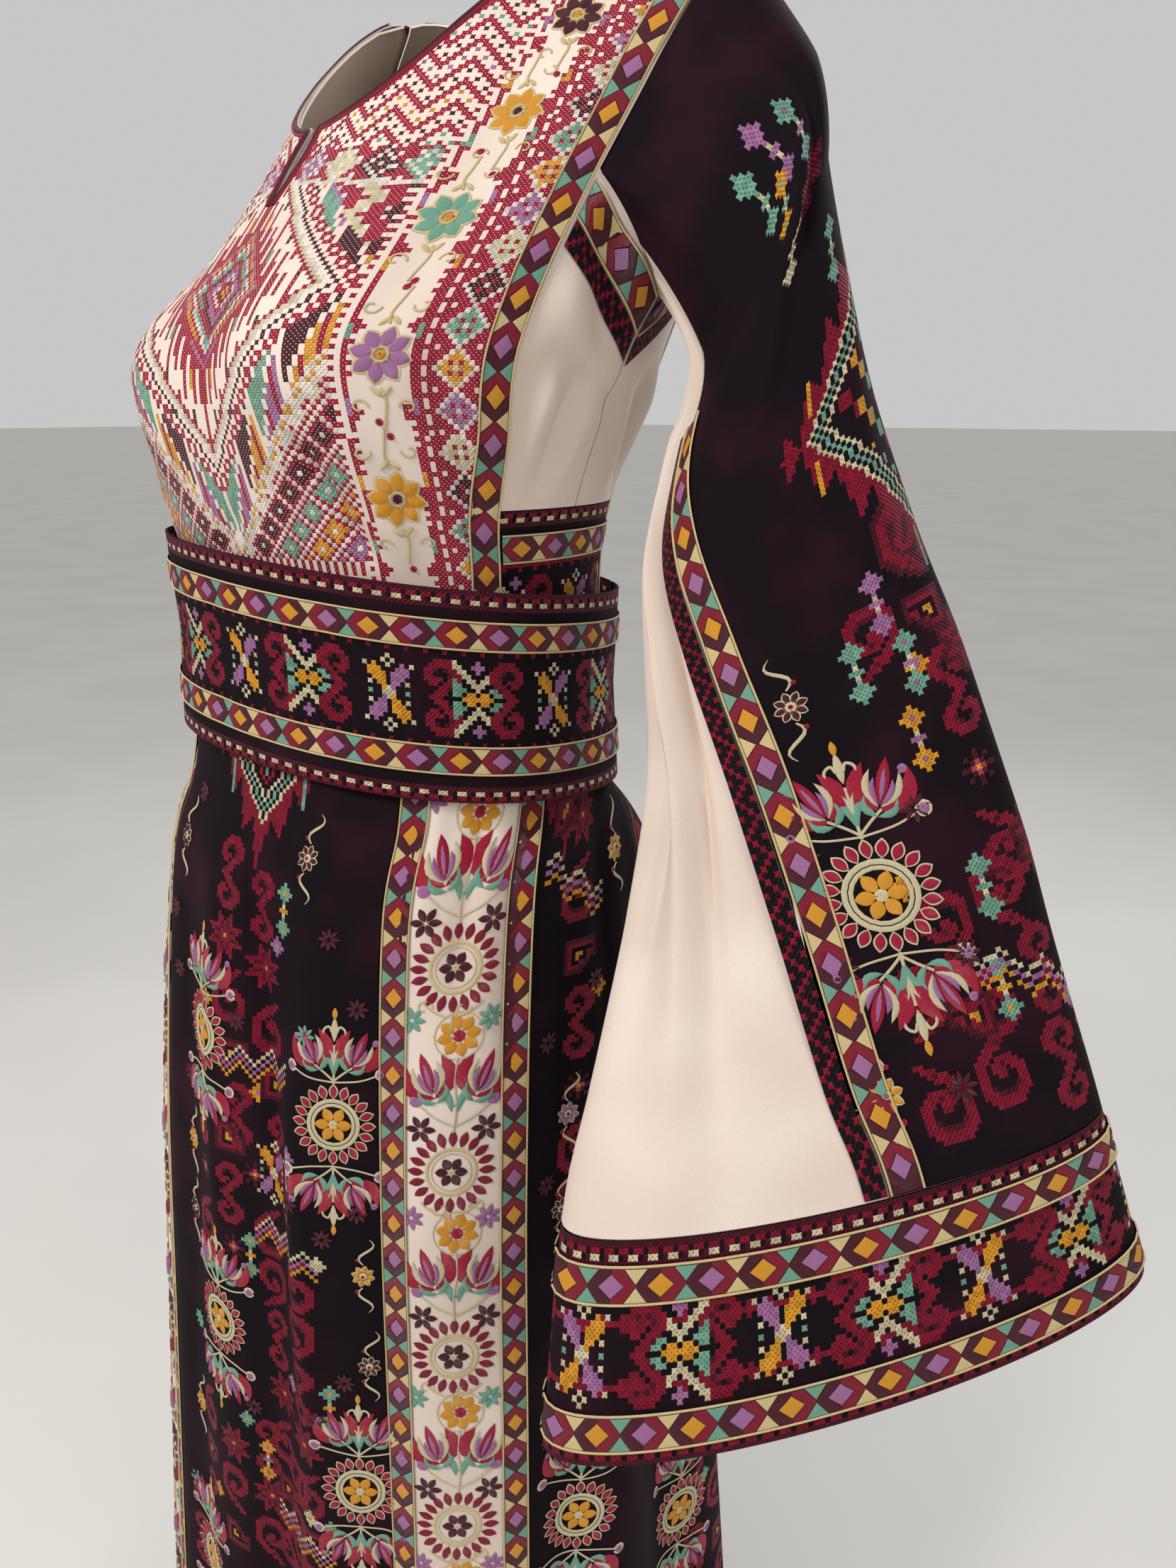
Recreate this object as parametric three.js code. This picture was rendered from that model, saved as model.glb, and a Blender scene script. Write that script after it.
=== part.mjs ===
// A woman's embroidered thobe, worn and belted: a long dress with an embroidered front panel, velvet
// bell sleeves with pale under-sleeves and deep cuffs, a panelled velvet skirt and a wide separate belt.
// Millimetres, +Z up, front towards -Y, the wearer's left towards +X.
// The origin is the middle of the shoulder line, level with the side of the neck, where a wearer holds
// it up.
import * as THREE from "three";

// Driving sizes
const CLOTH = 2; // thickness of a cloth wall
const RIBBON = 1.2; // thickness of a woven ribbon sewn on a panel
const LIFT = 0.7; // a ribbon stands this far off the panel under it
const SEAM = 0.4; // half of the parting between two panels
const RIBBON_WIDTH = 17;
const EDGING_WIDTH = 11; // black zigzag edging beside a ribbon
const HEM_Z = -1400;
const WAIST_SEAM_Z = -425;
const BAND_TOP_Z = -305; // top of the velvet waist band at the sides
const BELT_HEIGHT = 121;
const BELT_CENTRE_Z = -404;
const BELT_TILT = { x: -0.08, y: -0.1 }; // the belt sits higher at the front and at the wearer's right
const BELT_OPEN = 5; // parting between the belt's two ends
const BELT_JOIN = THREE.MathUtils.degToRad(133); // the ends meet behind the wearer's left side
const NECK_HALF_WIDTH = 116;
const NECK_DROP_FRONT = 141; // along the cloth, from the shoulder line to the slit
const NECK_DROP_BACK = 62;
const SLIT_END = 192;
const SLIT_HALF_WIDTH = 3;
const SHOULDER_SLOPE = 0.3;
const SLOPE_STARTS = 78;
const SQUARENESS = 0.9; // below 1, a section is fuller than an ellipse
const BUST = { depth: 20, x: 72, z: -222, halfWidth: 52, halfHeight: 50 };

// How the figure stands: the chest turns to the wearer's right and that shoulder is drawn back.
const POSE = {
  turn: THREE.MathUtils.degToRad(14),
  drawnBack: THREE.MathUtils.degToRad(18),
  shiftX: 20,
  shiftY: 10,
  reach: 130,
  low: -345,
  height: 225,
};

// Rings of the bodice, from the shoulder line down: height, front, back and side depth, half width
const TORSO = [
  { z: 0, front: 28, back: 28, side: 28, half: 250 },
  { z: -7, front: 10, back: 50, side: 28, half: 245 },
  { z: -30, front: -14, back: 72, side: 27, half: 232 },
  { z: -66, front: -40, back: 90, side: 24, half: 215 },
  { z: -106, front: -66, back: 102, side: 18, half: 200 },
  { z: -148, front: -95, back: 110, side: 10, half: 186 },
  { z: -190, front: -120, back: 112, side: 2, half: 176 },
  { z: -228, front: -135, back: 110, side: -6, half: 168 },
  { z: -268, front: -136, back: 104, side: -10, half: 159 },
  { z: -306, front: -129, back: 99, side: -9, half: 149 },
  { z: -345, front: -120, back: 99, side: -6, half: 141 },
  { z: -395, front: -118, back: 101, side: -4, half: 138 },
  { z: -450, front: -119, back: 103, side: -4, half: 139 },
];

// Rings of the skirt
const SKIRT = [
  { z: -425, front: -118, back: 102, side: -4, half: 138 },
  { z: -480, front: -129, back: 108, side: -4, half: 144 },
  { z: -540, front: -147, back: 138, side: -2, half: 168 },
  { z: -700, front: -166, back: 166, side: 0, half: 193 },
  { z: -900, front: -180, back: 184, side: 0, half: 211 },
  { z: -1150, front: -197, back: 206, side: 0, half: 232 },
  { z: -1400, front: -213, back: 228, side: 0, half: 252 },
];

// Soft upright folds of the skirt: place round the hem from the centre front, width and depth.
const FOLDS = [
  { atTop: 22, atHem: 30, width: 26, depth: -13 },
  { atTop: 58, atHem: 66, width: 20, depth: 7 },
  { atTop: -58, atHem: -78, width: 24, depth: -9 },
  { atTop: 110, atHem: 128, width: 16, depth: -6 },
  { atTop: 212, atHem: 250, width: 18, depth: -9 },
  { atTop: 252, atHem: 300, width: 22, depth: 8 },
  { atTop: 300, atHem: 365, width: 24, depth: -13 },
  { atTop: 355, atHem: 440, width: 30, depth: 10 },
  { atTop: 405, atHem: 520, width: 28, depth: -12 },
  { atTop: -112, atHem: -140, width: 18, depth: -7 },
  { atTop: -215, atHem: -255, width: 20, depth: -10 },
  { atTop: -262, atHem: -318, width: 24, depth: 8 },
  { atTop: -318, atHem: -392, width: 26, depth: -12 },
  { atTop: -385, atHem: -480, width: 30, depth: 11 },
];

// Outer edge of the ribbon on the bodice: distance round from the centre line, at distances down the cloth
const FRONT_EDGE = [
  { down: 0, across: 199 },
  { down: 60, across: 195 },
  { down: 125, across: 185 },
  { down: 188, across: 176 },
  { down: 230, across: 175 },
  { down: 278, across: 181 },
  { down: 320, across: 176 },
  { down: 380, across: 161 },
  { down: 490, across: 150 },
];
const BACK_EDGE = [
  { down: 0, across: 199 },
  { down: 60, across: 195 },
  { down: 125, across: 184 },
  { down: 188, across: 174 },
  { down: 230, across: 168 },
  { down: 280, across: 156 },
  { down: 330, across: 142 },
  { down: 380, across: 130 },
  { down: 490, across: 120 },
];
const ARMHOLE = { turn: 188, foot: 250 }; // where the armhole leaves the ribbon, and its lowest point

// Left sleeve: its outer and inner fold lines, and how far it swells in front and behind
const SLEEVE = [
  { outer: [255, 50, -98], inner: [214, 8, -244], swell: 54, back: 40, pale: 158 },
  { outer: [281, 36, -165], inner: [214, -6, -290], swell: 50, back: 40, pale: 154 },
  { outer: [310, 25, -242], inner: [217, -22, -332], swell: 44, back: 38, pale: 140 },
  { outer: [344, 19, -313], inner: [229, -38, -382], swell: 40, back: 36, pale: 125 },
  { outer: [380, 14, -386], inner: [243, -58, -440], swell: 37, back: 35, pale: 111 },
  { outer: [413, 13, -458], inner: [251, -92, -507], swell: 36, back: 34, pale: 99 },
  { outer: [444, 12, -534], inner: [257, -134, -580], swell: 36, back: 34, pale: 89 },
  { outer: [461, 12, -577], inner: [260, -162, -636], swell: 38, back: 35, pale: 82 },
  { outer: [489, 22, -663], inner: [266, -186, -750], swell: 43, back: 38, pale: 80 },
];
const CUFF_ROW = 8; // the cuff runs from this row of the sleeve to the last
const PALE_AT_ARMHOLE = 158; // degrees round from the shoulder where the under-sleeve starts
const SHOULDER = new THREE.Vector3(230, 48, -34);
// The wearer's right sleeve is the left one mirrored, turned back with its shoulder and hanging closer:
// at the hem its spread and its swing forward are the left one's times these shares.
const RIGHT_ARM = {
  shoulder: new THREE.Vector3(-146, 158, -34),
  turn: THREE.MathUtils.degToRad(32),
  spread: 0.75,
  swing: 0.6,
  away: new THREE.Vector3(-34, 22, 0),
};

// Skirt panels, as distances round from the centre front at the waist and at the hem
const FLORAL_PANEL = { innerTop: 98, innerHem: 137, width: 91 };
const BACK_PANEL = { fromBackTop: 118, fromBackHem: 190 };

// Colours and finishes
const finish = (color, roughness, metalness = 0) =>
  new THREE.MeshStandardMaterial({ color, roughness, metalness });
const IVORY = finish(0xe3cfc0, 0.75);
const EMBROIDERED = finish(0xc79a94, 0.8);
const VELVET = finish(0x160f18, 0.95);
const STITCHED_VELVET = finish(0x3a1320, 0.9);
const RIBBON_CLOTH = finish(0x8d4a3c, 0.6);
const EDGING = finish(0x4a1222, 0.85);
const BINDING = finish(0x8a2036, 0.8);
const GOLD = finish(0xc9a24a, 0.35, 1);

// Curves through a table's rows
const smooth = (x) => THREE.MathUtils.smoothstep(x, 0, 1);
const mix = THREE.MathUtils.lerp;

function through(values, t) {
  const last = values.length - 1;
  const i = Math.min(Math.max(Math.floor(t), 0), last - 1);
  const f = t - i;
  const a = values[Math.max(i - 1, 0)];
  const b = values[i];
  const c = values[i + 1];
  const d = values[Math.min(i + 2, last)];
  return b + 0.5 * f * (c - a + f * (2 * a - 5 * b + 4 * c - d + f * (3 * (b - c) + d - a)));
}

function rowAt(table, t) {
  const row = {};
  for (const name of Object.keys(table[0])) row[name] = through(table.map((r) => r[name]), t);
  return row;
}

// The parameter of a table's row where one falling or rising column has the value
function findRow(table, name, value) {
  let low = 0;
  let high = table.length - 1;
  const rising = table[high][name] > table[0][name];
  for (let step = 0; step < 40; step++) {
    const middle = (low + high) / 2;
    const here = through(table.map((r) => r[name]), middle);
    if (here < value === rising) low = middle;
    else high = middle;
  }
  return (low + high) / 2;
}

const columnAt = (table, key, name, value) =>
  through(table.map((r) => r[name]), findRow(table, key, value));

// One ring of the body: the point at an angle from the centre front, on the side towards +X
function section(row, angle, drop = 0) {
  const s = Math.sin(angle);
  const c = Math.cos(angle);
  const x = row.half * Math.sign(s) * Math.abs(s) ** SQUARENESS;
  const reach = Math.abs(c) ** SQUARENESS;
  const y = row.side + ((c > 0 ? row.front : row.back) - row.side) * reach;
  return new THREE.Vector3(x, y, row.z - drop * Math.max(Math.abs(x) - SLOPE_STARTS, 0));
}

function bustDepth(x, z, angle) {
  if (Math.cos(angle) <= 0) return 0;
  const across = (Math.abs(x) - BUST.x) / BUST.halfWidth;
  const up = (z - BUST.z) / BUST.halfHeight;
  return BUST.depth * Math.exp(-across * across - up * up);
}

function flatTorso(angle, t) {
  const row = rowAt(TORSO, t);
  const slope = SHOULDER_SLOPE * smooth(1 - t / 5);
  const p = section(row, angle, slope);
  p.y -= bustDepth(p.x, row.z, angle);
  return p;
}

function posed(p) {
  const w = smooth((p.z - POSE.low) / POSE.height);
  const angle =
    w * (POSE.turn * (1 - smooth(p.x / POSE.reach)) + POSE.drawnBack * smooth(-p.x / POSE.reach));
  const c = Math.cos(angle);
  const s = Math.sin(angle);
  const x = c * p.x + s * p.y + POSE.shiftX * w;
  return new THREE.Vector3(x, -s * p.x + c * p.y + POSE.shiftY * w, p.z);
}

// Distances round a ring: angles and lengths from the centre front to the centre back
const ARC_STEPS = 360;
function arcTable(pointAt) {
  const lengths = [0];
  let before = pointAt(0);
  for (let i = 1; i <= ARC_STEPS; i++) {
    const here = pointAt((Math.PI * i) / ARC_STEPS);
    lengths.push(lengths[i - 1] + Math.hypot(here.x - before.x, here.y - before.y));
    before = here;
  }
  return lengths;
}

function angleAt(lengths, distance) {
  const half = lengths[ARC_STEPS];
  const d = Math.abs(distance);
  if (d > half) return Math.sign(distance) * (2 * Math.PI - angleAt(lengths, 2 * half - d));
  let low = 0;
  let high = ARC_STEPS;
  while (high - low > 1) {
    const middle = (low + high) >> 1;
    if (lengths[middle] <= d) low = middle;
    else high = middle;
  }
  const f = (d - lengths[low]) / (lengths[high] - lengths[low]);
  return (Math.sign(distance) * Math.PI * (low + f)) / ARC_STEPS;
}

const remembered = (make) => {
  const kept = new Map();
  return (t) => {
    const key = t.toFixed(4);
    if (!kept.has(key)) kept.set(key, make(t));
    return kept.get(key);
  };
};
const torsoArcs = remembered((t) => arcTable((angle) => flatTorso(angle, t)));

// Distance down the front of the bodice, from the shoulder line, for each ring
const DOWN_STEPS = 240;
const DOWN = (() => {
  const rows = [];
  let down = 0;
  let before = flatTorso(0, 0);
  for (let i = 0; i <= DOWN_STEPS; i++) {
    const t = ((TORSO.length - 1) * i) / DOWN_STEPS;
    const here = flatTorso(0, t);
    down += here.distanceTo(before);
    before = here;
    rows.push({ t, down, z: here.z });
  }
  return rows;
})();

function inDown(key, value, wanted) {
  let i = 1;
  while (i < DOWN_STEPS && Math.abs(DOWN[i][key]) < Math.abs(value)) i++;
  const a = DOWN[i - 1];
  const b = DOWN[i];
  return mix(a[wanted], b[wanted], (value - a[key]) / (b[key] - a[key]));
}

// A point of the bodice: distance round from the centre front, and distance down
function bodice(across, down) {
  const t = inDown("down", down, "t");
  return posed(flatTorso(angleAt(torsoArcs(t), across), t));
}
const halfRound = (down) => torsoArcs(inDown("down", down, "t"))[ARC_STEPS];
const quarterRound = (down) => torsoArcs(inDown("down", down, "t"))[ARC_STEPS / 2];
const downAtZ = (z) => inDown("z", z, "down");
const frontEdge = (down) => columnAt(FRONT_EDGE, "down", "across", down);
const backEdge = (down) => columnAt(BACK_EDGE, "down", "across", down);

// The skirt: distance round from the centre front, and height
const skirtRow = (z) => rowAt(SKIRT, findRow(SKIRT, "z", z));
const skirtArcs = remembered((z) => {
  const row = skirtRow(z);
  return arcTable((angle) => section(row, angle));
});
const skirtHalf = (z) => skirtArcs(z)[ARC_STEPS];

function foldDepth(across, z) {
  const fall = (WAIST_SEAM_Z - z) / (WAIST_SEAM_Z - HEM_Z);
  const growth = smooth(fall * 4) * (0.55 + 0.45 * fall);
  let depth = 0;
  for (const fold of FOLDS) {
    const at = mix(fold.atTop, fold.atHem, fall);
    const width = fold.width * (0.8 + 0.5 * fall);
    depth += fold.depth * growth * Math.exp(-(((across - at) / width) ** 2));
  }
  return depth;
}

function skirt(across, z) {
  const row = skirtRow(z);
  const half = skirtHalf(z);
  const wrapped = across > half ? across - 2 * half : across;
  const angle = angleAt(skirtArcs(z), across);
  const p = section(row, angle);
  const away = new THREE.Vector3(p.x / row.half ** 2, (p.y - row.side) / row.front ** 2, 0);
  away.normalize();
  return p.addScaledVector(away, foldDepth(wrapped, z));
}

// The armhole seam, from the shoulder (0) to its foot (1), in front (side 1) or behind (side -1)
function armholePlace(share, behind) {
  const edge = behind ? backEdge : frontEdge;
  const straight = ARMHOLE.turn;
  const inward = quarterRound(ARMHOLE.foot) - edge(ARMHOLE.turn);
  const slant = Math.hypot(ARMHOLE.foot - ARMHOLE.turn, inward);
  const length = share * (straight + slant);
  if (length <= straight) return { across: edge(length), down: length };
  const f = (length - straight) / slant;
  const down = mix(ARMHOLE.turn, ARMHOLE.foot, f);
  const foot = behind ? halfRound(down) - quarterRound(down) : quarterRound(down);
  return { across: mix(edge(ARMHOLE.turn), foot, f), down };
}

const ARMHOLE_PARTING = 1.2; // the sleeve starts this far outside the bodice's edge
function armholePoint(share, behind, mirrored) {
  const place = armholePlace(share, behind);
  const across = place.across + ARMHOLE_PARTING * (1 - smooth(share * 4 - 3));
  const down = Math.max(place.down - ARMHOLE_PARTING * smooth(share * 5 - 2.6), 0.3);
  const round = behind ? halfRound(down) * 2 - (halfRound(down) + across) : across;
  return bodice(mirrored ? -round : round, down);
}

// A sleeve: angle round from the shoulder side (positive in front), and row from the armhole (0)
function rightArm(p, share) {
  const d = p.clone().sub(SHOULDER);
  const out = -d.x * mix(1, RIGHT_ARM.spread, smooth(share * 2));
  const forward = d.y * mix(1, RIGHT_ARM.swing, smooth(share * 2));
  const c = Math.cos(RIGHT_ARM.turn);
  const s = Math.sin(RIGHT_ARM.turn);
  const turned = new THREE.Vector3(c * out + s * forward, -s * out + c * forward, d.z);
  return turned.add(RIGHT_ARM.shoulder).addScaledVector(RIGHT_ARM.away, share);
}
const rails = (mirrored) =>
  SLEEVE.map((row, i) => {
    const place = (name) => {
      const p = new THREE.Vector3(...row[name]);
      return mirrored ? rightArm(p, i / (SLEEVE.length - 1)) : p;
    };
    const outer = place("outer");
    const inner = place("inner");
    const { swell, back, pale } = row;
    return {
      ox: outer.x, oy: outer.y, oz: outer.z, ix: inner.x, iy: inner.y, iz: inner.z, swell, back, pale,
    };
  });
const LEFT_RAILS = rails(false);
const RIGHT_RAILS = rails(true);

function sleeveRing(angle, t, mirrored) {
  const table = mirrored ? RIGHT_RAILS : LEFT_RAILS;
  const row = rowAt(table, t);
  const outer = new THREE.Vector3(row.ox, row.oy, row.oz);
  const inner = new THREE.Vector3(row.ix, row.iy, row.iz);
  const wide = outer.clone().sub(inner);
  const forward = new THREE.Vector3(wide.y, -wide.x, 0).normalize().multiplyScalar(mirrored ? -1 : 1);
  const s = Math.sin(angle);
  const depth = (s > 0 ? row.swell : row.back) * Math.sign(s) * Math.abs(s) ** SQUARENESS;
  const middle = outer.add(inner).multiplyScalar(0.5);
  return middle.addScaledVector(wide, Math.cos(angle) / 2).addScaledVector(forward, depth);
}

const SLEEVE_START = 1.6; // rows over which the armhole's shape turns into the sleeve's
const HEAD_EASE = 9; // the sleeve head stands this far out between them
function sleeve(angle, row, mirrored) {
  const ring = sleeveRing(angle, Math.max(row - 1, 0), mirrored);
  if (row >= SLEEVE_START) return ring;
  const seam = armholePoint(Math.abs(angle) / Math.PI, angle < 0, mirrored);
  const away = new THREE.Vector3(seam.x - POSE.shiftX, seam.y - POSE.shiftY, 0).normalize();
  const ease = HEAD_EASE * Math.sin((Math.PI * row) / SLEEVE_START);
  const share = Math.sin((Math.PI / 2) * (row / SLEEVE_START)) ** 1.2;
  return seam.lerp(ring, share).addScaledVector(away, ease);
}
const paleStart = (row) => {
  const table = [PALE_AT_ARMHOLE, ...SLEEVE.map((r) => r.pale)];
  return THREE.MathUtils.degToRad(through(table, row));
};

// The belt: distance round from the centre front, and distance up from its centre line
const BELT_RING = { z: BELT_CENTRE_Z, front: -127.4, back: 113.2, side: -4, half: 147.3 };
const BELT_ARCS = arcTable((angle) => section(BELT_RING, angle));
const BELT_FLARE = 0.045; // both edges stand a little wider than its middle
function beltAt(across, up) {
  const p = section(BELT_RING, angleAt(BELT_ARCS, across));
  const grow = 1 + (BELT_FLARE * Math.abs(up)) / BELT_HEIGHT;
  p.z += up + BELT_TILT.x * p.x + BELT_TILT.y * p.y;
  p.x *= grow;
  p.y *= grow;
  return p;
}

// Builds a closed wall from an outer surface. at(u, v) is a point, u runs towards the wearer's left
// across the front and v runs down, keep(i, j) tells which cells are there, and lift moves it out.
function wall(name, material, at, us, vs, options = {}) {
  const { thickness = CLOTH, lift = 0, keep = () => true } = options;
  const STEP = 1e-3;
  const normal = (u, v) => {
    const du = at(u + STEP, v).sub(at(u - STEP, v));
    const dv = at(u, v + STEP).sub(at(u, v - STEP));
    return dv.cross(du).normalize();
  };
  const nu = us.length;
  const nv = vs.length;
  const positions = [];
  const index = [];
  for (const inner of [false, true])
    for (let j = 0; j < nv; j++)
      for (let i = 0; i < nu; i++) {
        const u = Math.min(Math.max(us[i], us[0] + STEP), us[nu - 1] - STEP);
        const v = Math.min(Math.max(vs[j], vs[0] + STEP), vs[nv - 1] - STEP);
        const out = lift - (inner ? thickness : 0);
        const p = at(us[i], vs[j]).addScaledVector(normal(u, v), out);
        positions.push(p.x, p.y, p.z);
      }
  const id = (i, j, inner) => (inner ? nu * nv : 0) + j * nu + i;
  const kept = (i, j) => i >= 0 && j >= 0 && i < nu - 1 && j < nv - 1 && keep(i, j);
  const quad = (a, b, c, d) => index.push(a, b, c, a, c, d);
  for (let j = 0; j < nv - 1; j++)
    for (let i = 0; i < nu - 1; i++) {
      if (!kept(i, j)) continue;
      quad(id(i, j), id(i, j + 1), id(i + 1, j + 1), id(i + 1, j));
      quad(id(i, j, true), id(i + 1, j, true), id(i + 1, j + 1, true), id(i, j + 1, true));
      if (!kept(i - 1, j)) quad(id(i, j), id(i, j, true), id(i, j + 1, true), id(i, j + 1));
      if (!kept(i + 1, j))
        quad(id(i + 1, j), id(i + 1, j + 1), id(i + 1, j + 1, true), id(i + 1, j, true));
      if (!kept(i, j - 1)) quad(id(i, j), id(i + 1, j), id(i + 1, j, true), id(i, j, true));
      if (!kept(i, j + 1))
        quad(id(i, j + 1), id(i, j + 1, true), id(i + 1, j + 1, true), id(i + 1, j + 1));
    }
  return meshOf(name, material, positions, index);
}

function meshOf(name, material, positions, index) {
  const used = new Map();
  const kept = [];
  const renumbered = index.map((n) => {
    if (!used.has(n)) {
      used.set(n, used.size);
      kept.push(positions[3 * n], positions[3 * n + 1], positions[3 * n + 2]);
    }
    return used.get(n);
  });
  const geometry = new THREE.BufferGeometry();
  geometry.setAttribute("position", new THREE.Float32BufferAttribute(kept, 3));
  geometry.setIndex(renumbered);
  if (signedVolume(kept, renumbered) < 0) {
    const turned = [];
    for (let i = 0; i < renumbered.length; i += 3)
      turned.push(renumbered[i], renumbered[i + 2], renumbered[i + 1]);
    geometry.setIndex(turned);
  }
  geometry.computeVertexNormals();
  const mesh = new THREE.Mesh(geometry, material);
  mesh.name = name;
  return mesh;
}

function signedVolume(p, index) {
  const corner = (n) => new THREE.Vector3(p[3 * n], p[3 * n + 1], p[3 * n + 2]);
  let six = 0;
  for (let i = 0; i < index.length; i += 3)
    six += corner(index[i]).dot(corner(index[i + 1]).cross(corner(index[i + 2])));
  return six;
}

const thobe = new THREE.Group();
const add = (mesh) => thobe.add(mesh);

// Bodice: front and back panels, with the neckline and the slit
const bodiceFoot = downAtZ(WAIST_SEAM_Z) - SEAM;
const bandTop = downAtZ(BAND_TOP_Z);
const PANEL_TOP = 0.9; // parting at the shoulder seam
const spread = (from, to, cells) =>
  Array.from({ length: cells + 1 }, (_, i) => mix(from, to, i / cells));
const within = (value, from, to) => (value - from) / (to - from);
const slitFall = within(SLIT_END, NECK_DROP_FRONT, bodiceFoot);
const SIDE_TOP = ARMHOLE.turn + SEAM;
// Rows down the seams, so that panels that meet have their corners at the same heights
const upperRows = spread(mix(PANEL_TOP, bodiceFoot, slitFall / 2), SIDE_TOP, 4);
const chestRows = [PANEL_TOP, ...upperRows.slice(0, -1)];
chestRows[2] = mix(PANEL_TOP, bodiceFoot, slitFall);
const sideRows = spread(SIDE_TOP, bandTop - SEAM, 6);
const waistRows = spread(bandTop + SEAM, bodiceFoot, 3);
const panelRows = [...chestRows, ...sideRows, ...waistRows];
const panelFalls = panelRows.map((down) => within(down, PANEL_TOP, bodiceFoot));
const SLIT_ROW = 2;
function neckDrop(across, drop) {
  const share = Math.min(Math.abs(across) / NECK_HALF_WIDTH, 1);
  return drop * (1 - share ** 2.1) ** 0.8;
}
function panelPlace(edge, drop, share, fall) {
  const top = neckDrop(share * edge(0), drop) + PANEL_TOP;
  const down = mix(top, bodiceFoot, fall);
  return { across: share * (edge(down) - SEAM), down };
}
function frontPanel(share, fall) {
  const place = panelPlace(frontEdge, NECK_DROP_FRONT, share, fall);
  return bodice(place.across, place.down);
}
function backPanel(share, fall) {
  const place = panelPlace(backEdge, NECK_DROP_BACK, share, fall);
  return bodice(halfRound(place.down) + place.across, place.down);
}

const slitShare = SLIT_HALF_WIDTH / FRONT_EDGE[2].across;
const neckShare = NECK_HALF_WIDTH / FRONT_EDGE[0].across;
const ribbonShare = 1 - RIBBON_WIDTH / FRONT_EDGE[2].across;
const outerShares = [...spread(neckShare, ribbonShare, 3), 1];
const halfShares = [slitShare, ...spread(0.13, 0.47, 3), ...outerShares];
const mirroredShares = (shares) => [...shares.map((s) => -s).reverse(), ...shares];
const frontShares = mirroredShares(halfShares);
const backShares = [
  ...outerShares.map((s) => -s).reverse(),
  ...spread(-0.45, 0.45, 6),
  ...outerShares,
];
const slitColumn = halfShares.length - 1;
add(wall("bodice_front", EMBROIDERED, frontPanel, frontShares, panelFalls, {
  keep: (i, j) => i !== slitColumn || j >= SLIT_ROW,
}));
add(wall("bodice_back", IVORY, backPanel, backShares, panelFalls));

// Side panels, from the armhole to the velvet band, with a seam under the arm
function sidePlace(share, fall, behind) {
  const top = mix(SIDE_TOP, ARMHOLE.foot, share);
  const down = mix(top, bandTop - SEAM, fall);
  const edge = behind ? backEdge(down) : frontEdge(down);
  const seam = behind ? halfRound(down) - quarterRound(down) : quarterRound(down);
  const across = mix(edge + SEAM, seam - SEAM, share);
  return { across: behind ? halfRound(down) - across : across, down };
}
function sidePanel(mirrored, behind) {
  return (share, fall) => {
    const turned = mirrored !== behind;
    const place = sidePlace(turned ? 1 - share : share, fall, behind);
    return bodice(mirrored ? -place.across : place.across, place.down);
  };
}
// The velvet band at the side of the waist, from the front ribbon to the back one
const bandFront = (down) => frontEdge(down) + SEAM;
const bandBack = (down) => halfRound(down) - backEdge(down) - SEAM;
function waistBand(mirrored) {
  return (share, fall) => {
    const down = mix(waistRows[0], bodiceFoot, fall);
    const across = mix(bandFront(down), bandBack(down), mirrored ? 1 - share : share);
    return bodice(mirrored ? -across : across, down);
  };
}
for (const [side, mirrored] of [["left", false], ["right", true]]) {
  add(wall(`side_front_${side}`, IVORY, sidePanel(mirrored, false), spread(0, 1, 5), spread(0, 1, 6)));
  add(wall(`side_back_${side}`, IVORY, sidePanel(mirrored, true), spread(0, 1, 5), spread(0, 1, 6)));
  add(wall(`waist_band_${side}`, STITCHED_VELVET, waistBand(mirrored), spread(0, 1, 12), spread(0, 1, 3)));
}

// Ribbons on the bodice: beside the panels' edges, and round the armholes
function edgeRibbon(behind, mirrored) {
  const edge = behind ? backEdge : frontEdge;
  return (share, fall) => {
    const down = mix(PANEL_TOP, bodiceFoot, fall);
    const turned = mirrored !== behind;
    const across = edge(down) - mix(RIBBON_WIDTH, SEAM, turned ? 1 - share : share);
    const round = behind ? halfRound(down) - across : across;
    return bodice(mirrored ? -round : round, down);
  };
}
function armholeStrip(mirrored, behind, near, far) {
  return (share, fall) => {
    const turned = mirrored !== behind;
    const along = turned ? 1 - share : share;
    const place = sidePlace(mix(0.035, 0.985, along), 0, behind);
    const down = place.down + mix(near, far, fall);
    const edge = behind ? backEdge(down) : frontEdge(down);
    const seam = behind ? halfRound(down) - quarterRound(down) : quarterRound(down);
    const across = mix(edge, seam, mix(0.035, 0.985, along));
    const round = behind ? halfRound(down) - across : across;
    return bodice(mirrored ? -round : round, down);
  };
}
const onPanel = { thickness: RIBBON, lift: LIFT + RIBBON };
const SLANT = 1.3; // the armhole ribbon's upright width against its true width
for (const [side, mirrored] of [["left", false], ["right", true]])
  for (const [face, behind] of [["front", false], ["back", true]]) {
    const ribbonAt = edgeRibbon(behind, mirrored);
    add(wall(`ribbon_${face}_${side}`, RIBBON_CLOTH, ribbonAt, [0, 1], panelFalls, onPanel));
    const ribbonNear = behind ? 4 : 1.5;
    const ribbonFar = ribbonNear + RIBBON_WIDTH * SLANT;
    const edgingFar = ribbonFar + EDGING_WIDTH * SLANT;
    add(wall(`armhole_ribbon_${face}_${side}`, RIBBON_CLOTH,
      armholeStrip(mirrored, behind, ribbonNear, ribbonFar), spread(0, 1, 5), [0, 1], onPanel));
    add(wall(`armhole_edging_${face}_${side}`, EDGING,
      armholeStrip(mirrored, behind, ribbonFar + 0.6, edgingFar), spread(0, 1, 5), [0, 1], onPanel));
  }

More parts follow.
